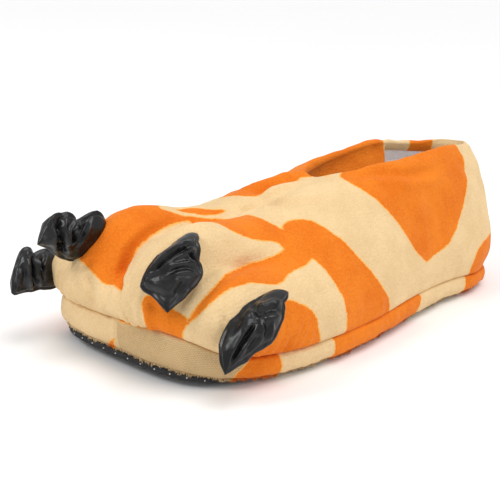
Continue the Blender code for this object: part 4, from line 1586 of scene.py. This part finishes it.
def dots_round_toe():
    """One row of places along the curled edge at the toe."""
    ring = sole_ring(0.0, EDGE_DOT_LEVEL, FINE_RING)
    _, normal, arc = outline(0.0, FINE_RING)
    order = np.argsort(arc)
    at = np.arange(-EDGE_DOT_REACH, EDGE_DOT_REACH, DOT_PITCH)
    places = np.column_stack([np.interp(at, arc[order], ring[order, axis]) for axis in range(3)])
    sideways = np.column_stack([np.interp(at, arc[order], normal[order, axis]) for axis in (0, 1)])
    share = along(places[:, 1])
    high = outsole_top(share) - floor_line(share) > LEAST_EDGE_HEIGHT
    return places[high], np.column_stack((sideways, np.zeros(len(at))))[high]


flat_places = dots_under()
edge_places, edge_ways = dots_round_toe()
all_places = np.vstack((flat_places, edge_places))
all_ways = np.vstack((np.tile((0.0, 0.0, -1.0), (len(flat_places), 1)), edge_ways))
dot_share = np.where(np.arange(len(all_places)) < len(flat_places), 1.0, EDGE_DOT_SHARE)[:, None]
points, faces = domes(all_places, all_ways, DOT_RADIUS * dot_share, DOT_HEIGHT, DOT_SIDES)
sole_dots = new_piece("sole_dots", points, faces, dot_rubber)
print("dots:", len(flat_places), "under and", len(edge_places), "round the toe")


# %% [markdown]
# The insole is a fleece-covered board. It is a running fit inside the wall, so its edge slopes
# like the solid's. Its top is a grid of rungs from one side to the other.

# %% The fleece insole
INSOLE_EDGE_SLOPE = 0.0006
INSOLE_TOE_SLOPE = 0.006
INSOLE_COLUMNS = 320
INSOLE_ACROSS = 41


def insole_ring(part, lift):
    """A ring of the insole: part of its edge slope inwards, lift above the seam."""
    edge = SEAM_INSET + WALL + GAP - SEAM_OUT * 0.8

    def inset(share):
        slope = INSOLE_EDGE_SLOPE + INSOLE_TOE_SLOPE * (1.0 - smoothstep(0.05, 0.30, share))
        return edge + part * (slope + INSOLE_EDGE_SLOPE)

    ring, _, _ = outline(inset, INSOLE_COLUMNS)
    return np.column_stack((ring, seam_height(along(ring[:, 1])) + lift))


# Each row: part of the edge's slope, height as a share of INSOLE_THICK.
INSOLE_EDGE = (
    (0.0, GAP / INSOLE_THICK),
    (0.3, 0.35),
    (0.6, 0.70),
    (0.85, 0.90),
)
insole_rings = np.array([insole_ring(part, lift * INSOLE_THICK) for part, lift in INSOLE_EDGE])
top_ring = insole_ring(1.0, INSOLE_THICK)
half = INSOLE_COLUMNS // 2
near_side = top_ring[: half + 1]
far_side = top_ring[np.mod(-np.arange(half + 1), INSOLE_COLUMNS)]
across = np.linspace(0.0, 1.0, INSOLE_ACROSS)[None, :, None]
top_grid = near_side[:, None, :] * (1 - across) + far_side[:, None, :] * across
pillow = np.sin(np.pi * across[..., 0]) ** 0.5
top_grid[:, :, 2] += pillow * (0.0005 * lumps(top_grid, 0.018, 41) + 0.0003 * lumps(top_grid, 0.006, 43))
rows, cols = top_grid.shape[:2]
row, col = np.meshgrid(np.arange(rows - 1), np.arange(cols - 1), indexing="ij")
corner = row * cols + col
top_faces = np.stack((corner, corner + cols, corner + cols + 1, corner + 1), axis=-1).reshape(-1, 4)
start = insole_rings.size // 3
side_faces = ring_faces(len(insole_rings), INSOLE_COLUMNS)
ring_index = np.arange(INSOLE_COLUMNS)
edge_index = np.where(
    ring_index <= half, ring_index * cols, (INSOLE_COLUMNS - ring_index) * cols + cols - 1
) + start
last = (len(insole_rings) - 1) * INSOLE_COLUMNS
joining = np.column_stack((
    last + ring_index, last + np.roll(ring_index, -1), np.roll(edge_index, -1), edge_index,
))
points = np.vstack((insole_rings.reshape(-1, 3), top_grid.reshape(-1, 3)))
faces = np.vstack((side_faces, joining, top_faces + start, rung_faces(0, INSOLE_COLUMNS, upwards=False)))
insole_fleece = new_piece("insole_fleece", points, faces, fleece)
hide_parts("insole")

# %% [markdown]
# Each claw is a small stuffed bag of shiny vinyl, sewn from two panels and rather empty, so it
# has buckled. It is built from its two sewn edges: pairs of points on them are read in the
# picture and set at the depth of the claw's own axis, lens-shaped sections are drawn between
# them, and the listed folds push the skin in. The root runs on into the toe, so the claw
# sits on the plush from every side.

# %% Claw places and edges
CLAW_LENGTH = 0.036
CLAW_ROOT = 0.009
CLAW_CURL = 0.28
CLAW_RINGS = 120
CLAW_SIDES = 160
CLAW_SUNK_RINGS = 13
CLAW_BODY = slice(20, 60)
CLAW_TEST_RING = 30
CLAW_THICKNESS = 0.62
CLAW_THICKEST = 0.0100
# Each row: name, arc share, share up, yaw, droop, share of CLAW_LENGTH.
CLAWS = (
    ("claw_outer", 0.575, 0.15, 13.0, 16.0, 0.84),
    ("claw_outer_middle", 0.285, 0.26, 30.0, 12.0, 0.78),
    ("claw_inner_middle", -0.155, 0.24, 0.0, -20.0, 0.90),
    ("claw_inner", -0.40, 0.11, -2.0, -3.0, 0.76),
)
# Pairs of picture points on the two sewn edges, from the toe to the tip.
CLAW_EDGES = {
    "claw_outer": (
        ((256, 300), (284, 303)),
        ((248, 304.5), (285, 314)),
        ((240, 312.5), (281.5, 326)),
        ((231.5, 321.5), (274, 339)),
        ((225, 331), (263, 348.5)),
        ((220.5, 342), (252, 356)),
        ((219.3, 353), (241, 365)),
        ((220.2, 364), (232, 371.5)),
        ((224.8, 375.2), (224.8, 375.2)),
    ),
    "claw_outer_middle": (
        ((171, 247), (197, 242)),
        ((162, 253), (199, 251.5)),
        ((153, 261), (198, 262)),
        ((145.5, 269.5), (201, 273.5)),
        ((142, 279), (197, 283)),
        ((143.5, 290.5), (189, 291)),
        ((153, 297.5), (181.5, 299)),
        ((159.5, 305), (174.5, 306)),
        ((167.2, 313), (167.4, 313)),
    ),
    "claw_inner_middle": (
        ((97, 211), (68, 260.5)),
        ((91, 212.5), (63, 259)),
        ((83, 217.5), (58.5, 256.5)),
        ((76, 221.5), (55, 252.5)),
        ((71.5, 214.5), (51, 249.8)),
        ((63.5, 213.4), (46.5, 247.8)),
        ((55.5, 215.8), (42, 246.2)),
        ((46, 229.5), (39, 245.2)),
        ((37.0, 244.6), (37.2, 244.8)),
    ),
    "claw_inner": (
        ((51, 250), (50.5, 289.5)),
        ((44, 249), (44, 289.5)),
        ((38, 251.5), (38.5, 288.5)),
        ((33, 254.5), (33, 289.8)),
        ((28.5, 248.5), (28, 291)),
        ((22.5, 249.8), (23, 292.2)),
        ((17, 258), (18.5, 293.5)),
        ((12.6, 273), (14.5, 294.6)),
        ((11.2, 293), (11.6, 293.6)),
    ),
}


# %% The bag between two sewn edges
def claw_axes(yaw, droop):
    """Unit vectors of a claw: its axis, its side and its top."""
    yaw, droop = np.radians((yaw, droop))
    axis = np.array((np.sin(yaw) * np.cos(droop), -np.cos(yaw) * np.cos(droop), -np.sin(droop)))
    side = np.cross(axis, (0.0, 0.0, 1.0))
    side = unit(side)
    return axis, side, np.cross(side, axis)


def claw_root(arc_share, up):
    """The point of the drawn skin where a claw is sewn on."""
    column = int(np.argmin(np.abs(skin_arc - arc_share * BALL_WIDTH)))
    return on_grid(drawn_skin, np.array([[column / SKIN_COLUMNS, up]]))[0]


def at_depth(pixels, depth):
    """Points in space that fall on the given pixels at the given depths from the camera."""
    x = (pixels[:, 0] - PICTURE_PIXELS / 2) / FOCAL_PIXELS
    y = (PICTURE_PIXELS / 2 - pixels[:, 1]) / FOCAL_PIXELS
    ray = -camera_back + x[:, None] * camera_right + y[:, None] * camera_up
    return camera_place + ray * depth[:, None]


def claw_bag(name, root, yaw, droop, length):
    """Rings between the two edges. The half width runs from the middle to an edge, the half
    thickness across it is a share of the half width up to a limit, and the section is a lens:
    cosine of the turn across, and sine times the root of its size through."""
    axis, _, top = claw_axes(yaw, droop)
    pairs = np.array(CLAW_EDGES[name], dtype=float)
    share = np.linspace(0.0, 1.0, CLAW_RINGS)
    at = share * (len(pairs) - 1)
    table = pairs.reshape(len(pairs), 1, 4)
    edges = finer_up(table, share)[:, 0]
    walk = root + axis * (share * length)[:, None] - top * (CLAW_CURL * length * share**2)[:, None]
    depth = -((walk - camera_place) @ camera_back)
    first, second = at_depth(edges[:, :2], depth), at_depth(edges[:, 2:], depth)
    middle, half = (first + second) / 2, (second - first) / 2
    inwards = np.linspace(1.0, 0.0, CLAW_SUNK_RINGS + 1)[:-1, None]
    sunk = middle[0] - axis * CLAW_ROOT * inwards
    middle = np.vstack((sunk, middle))
    half = np.vstack((half[0] * (1.0 - 0.35 * inwards**2), half))
    size = np.linalg.norm(half, axis=1)
    run = np.gradient(middle, axis=0)
    through = np.cross(run, half)
    through = unit(through)
    through[:] = unit(through[CLAW_BODY].mean(axis=0))
    if through[0] @ camera_back < 0:
        through = -through
    thick = CLAW_THICKEST * np.tanh(size * CLAW_THICKNESS / CLAW_THICKEST * 1.2)
    turn = np.linspace(0.0, 2 * np.pi, CLAW_SIDES, endpoint=False)
    lens = np.sin(turn) * np.abs(np.sin(turn)) ** 0.35
    bag = (
        middle[:, None, :]
        + half[:, None, :] * np.cos(turn)[None, :, None]
        + (through * thick[:, None])[:, None, :] * lens[None, :, None]
    )
    if np.cross(half[CLAW_TEST_RING], through[CLAW_TEST_RING]) @ run[CLAW_TEST_RING] < 0:
        bag = bag[:, ::-1]
    pole, tip = bag[0].mean(axis=0) - axis * 0.0005, bag[-1].mean(axis=0)
    return bag[:-1], pole, tip


# %% The claws' buckles
# For each claw: path in the picture's pixels, depth mm, width mm, lip, fade, power.
CLAW_FOLDS = {
    "claw_outer": (
        (((257, 321), (250, 331), (242, 344), (235, 357), (230, 368)), 3.2, 0.9, 0.15, 0.25, 1.1),
        (((256, 318), (262, 312), (272, 309), (284, 311)), 1.5, 1.8, 0.8, 0.35, 1.2),
        (((250, 304), (258, 311), (262, 318)), 1.4, 1.6, 0.7, 0.4, 1.2),
        (((266, 318), (268, 330), (264, 342)), 1.2, 1.2, 0.8, 0.4, 1.1),
        (((243, 312), (236, 324), (231, 338)), 0.9, 2.2, 0.5, 0.4, 1.6),
        (((262, 332), (254, 344), (244, 356)), 0.9, 1.0, 0.8, 0.4, 1.1),
    ),
    "claw_outer_middle": (
        (((147, 275), (158, 267), (170, 257), (184, 249), (196, 245)), 1.8, 1.2, 1.1, 0.25, 1.1),
        (((164, 276), (176, 269), (188, 267), (200, 272)), 1.3, 1.1, 0.9, 0.3, 1.1),
        (((186, 250), (192, 259), (199, 271)), 1.8, 0.9, 1.0, 0.3, 1.1),
        (((146, 290), (158, 293), (168, 300)), 0.8, 1.6, 0.6, 0.4, 1.6),
        (((187, 277), (180, 289), (172, 301)), 1.1, 1.6, 0.6, 0.4, 1.2),
    ),
    "claw_inner_middle": (
        (((62, 214), (59, 226), (60, 240), (64, 257)), 3.6, 1.5, 0.5, 0.2, 1.1),
        (((76, 222), (73, 232), (69, 247)), 2.2, 1.0, 0.8, 0.25, 1.1),
        (((42, 241), (49, 235), (55, 225)), 1.0, 1.8, 0.7, 0.4, 1.4),
        (((89, 219), (83, 231), (76, 245)), 1.3, 1.2, 0.8, 0.3, 1.2),
    ),
    "claw_inner": (
        (((32, 254), (34, 264), (33, 276), (36, 288)), 3.0, 1.3, 0.7, 0.2, 1.1),
        (((21, 262), (25, 274), (22, 288)), 1.3, 1.4, 0.8, 0.3, 1.2),
        (((44, 253), (41, 266), (43, 284)), 1.4, 1.0, 0.8, 0.3, 1.1),
    ),
}
PIPING_HEIGHT = 0.0006
PIPING_WIDTH = 0.0007
CRUMPLE = 0.0005


def crumpled(points, name, seed):
    """The bag pushed in along its folds, ridged along its sewn edges and faceted by waves: one
    minus the size of a slow sine makes a crease."""
    normal = grid_normals(points)
    rise = np.zeros(points.shape[:2])
    for pixels, depth, width, lip, fade, power in CLAW_FOLDS[name]:
        path = on_grid(points, seen_on(points, normal, pixels))
        rise -= fold(points, path, depth / MM, width / MM, lip, fade, power)
    slow, quick = lumps(points, 0.030, seed), lumps(points, 0.014, seed + 1)
    rise += CRUMPLE * (0.8 - 2.4 * np.abs(slow)) - 0.8 * CRUMPLE * np.abs(quick)
    across = np.cos(np.linspace(0.0, 2 * np.pi, CLAW_SIDES, endpoint=False))
    girth = np.linalg.norm(points - points.mean(axis=1, keepdims=True), axis=2)
    off = girth * (1.0 - np.abs(across)[None, :]) * 2.0
    rise += PIPING_HEIGHT * np.exp(-((off / PIPING_WIDTH) ** 2))
    rise -= 0.6 * PIPING_HEIGHT * np.exp(-(((off - 2.4 * PIPING_WIDTH) / PIPING_WIDTH) ** 2))
    along_bag = np.linspace(0.0, 1.0, len(points))
    ends = smoothstep(0.0, 0.10, along_bag) * (1.0 - smoothstep(0.90, 1.0, along_bag))
    width = np.minimum(1.0, girth.mean(axis=1) / 0.006)
    return points + normal * (rise * (ends * width)[:, None])[:, :, None]


def pole_faces(rows, columns):
    """Triangles from the first ring to the pole and from the last ring to the tip."""
    k = np.arange(columns)
    following = (k + 1) % columns
    pole, tip = rows * columns, rows * columns + 1
    last = (rows - 1) * columns
    first_fan = np.column_stack((np.full(columns, pole), following, k, k))
    last_fan = np.column_stack((np.full(columns, tip), last + k, last + following, last + following))
    return np.vstack((ring_faces(rows, columns), first_fan, last_fan))


for seed, (name, arc_share, up, yaw, droop, length) in enumerate(CLAWS):
    bag, pole, tip = claw_bag(name, claw_root(arc_share, up), yaw, droop, length * CLAW_LENGTH)
    bag = crumpled(bag, name, 60 + 7 * seed)
    points = np.vstack((bag.reshape(-1, 3), pole, tip))
    claw = new_piece(name + "_vinyl", points, pole_faces(*bag.shape[:2]), vinyl)
    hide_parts(name)
    low, high = points.min(axis=0) * MM, points.max(axis=0) * MM
    print(name, "from", np.round(low), "to", np.round(high), "mm")


# %% [markdown]
# The floor is plain and pale, and the light is a soft studio light: one large panel over the
# camera's left shoulder, a weaker one from the right, a wide soft sun overhead that keeps the
# whole floor white, and an even pale surrounding. The plain view transform keeps orange orange.

# %% Floor and light
FLOOR_HALF = 12.0


def make_floor():
    """A flat square whose colour drifts very slightly."""
    material, tree, shader = new_material("studio_floor", 0.7)
    place = object_place(tree)
    drift = add_node(tree, "ShaderNodeTexNoise", {"Vector": place, "Scale": 1.5})
    colour = colour_mix(tree, drift.outputs["Fac"], (0.93, 0.93, 0.93, 1), (0.96, 0.96, 0.96, 1))
    tree.links.new(colour, shader.inputs["Base Color"])
    corners = np.array(((-1, -1, 0), (1, -1, 0), (1, 1, 0), (-1, 1, 0))) * FLOOR_HALF
    mesh = bpy.data.meshes.new("floor")
    mesh.from_pydata(corners.tolist(), [], [(0, 1, 2, 3)])
    mesh.materials.append(material)
    floor = bpy.data.objects.new("floor", mesh)
    bpy.context.scene.collection.objects.link(floor)


def aimed_light(name, kind, place, aim, power):
    """A light of the kind named, turned so that it looks from its place at a point."""
    data = bpy.data.lights.new(name, kind)
    data.energy = power
    light = bpy.data.objects.new(name, data)
    place, aim = np.array(place), np.array(aim)
    back = unit(place - aim)
    level = unit(np.cross((0.0, 0.0, 1.0), back))
    set_pose(light, level, np.cross(back, level), back, place)
    return data


make_floor()
key = aimed_light("key", "AREA", (-0.35, -1.15, 1.15), (0.0, 0.0, 0.03), 6.5)
key.size = 0.5
fill = aimed_light("fill", "AREA", (1.25, 0.1, 0.9), (0.0, 0.0, 0.04), 3.0)
fill.size = 0.6
overhead = aimed_light("overhead", "SUN", (0.35, 0.2, 1.5), (0.0, 0.0, 0.04), 1.3)
overhead.angle = 0.7
world = bpy.data.worlds.new("studio")
world.use_nodes = True
world.node_tree.nodes["Background"].inputs["Color"].default_value = (1.0, 1.0, 1.0, 1.0)
world.node_tree.nodes["Background"].inputs["Strength"].default_value = 0.66
bpy.context.scene.world = world
bpy.context.scene.view_settings.view_transform = "Standard"
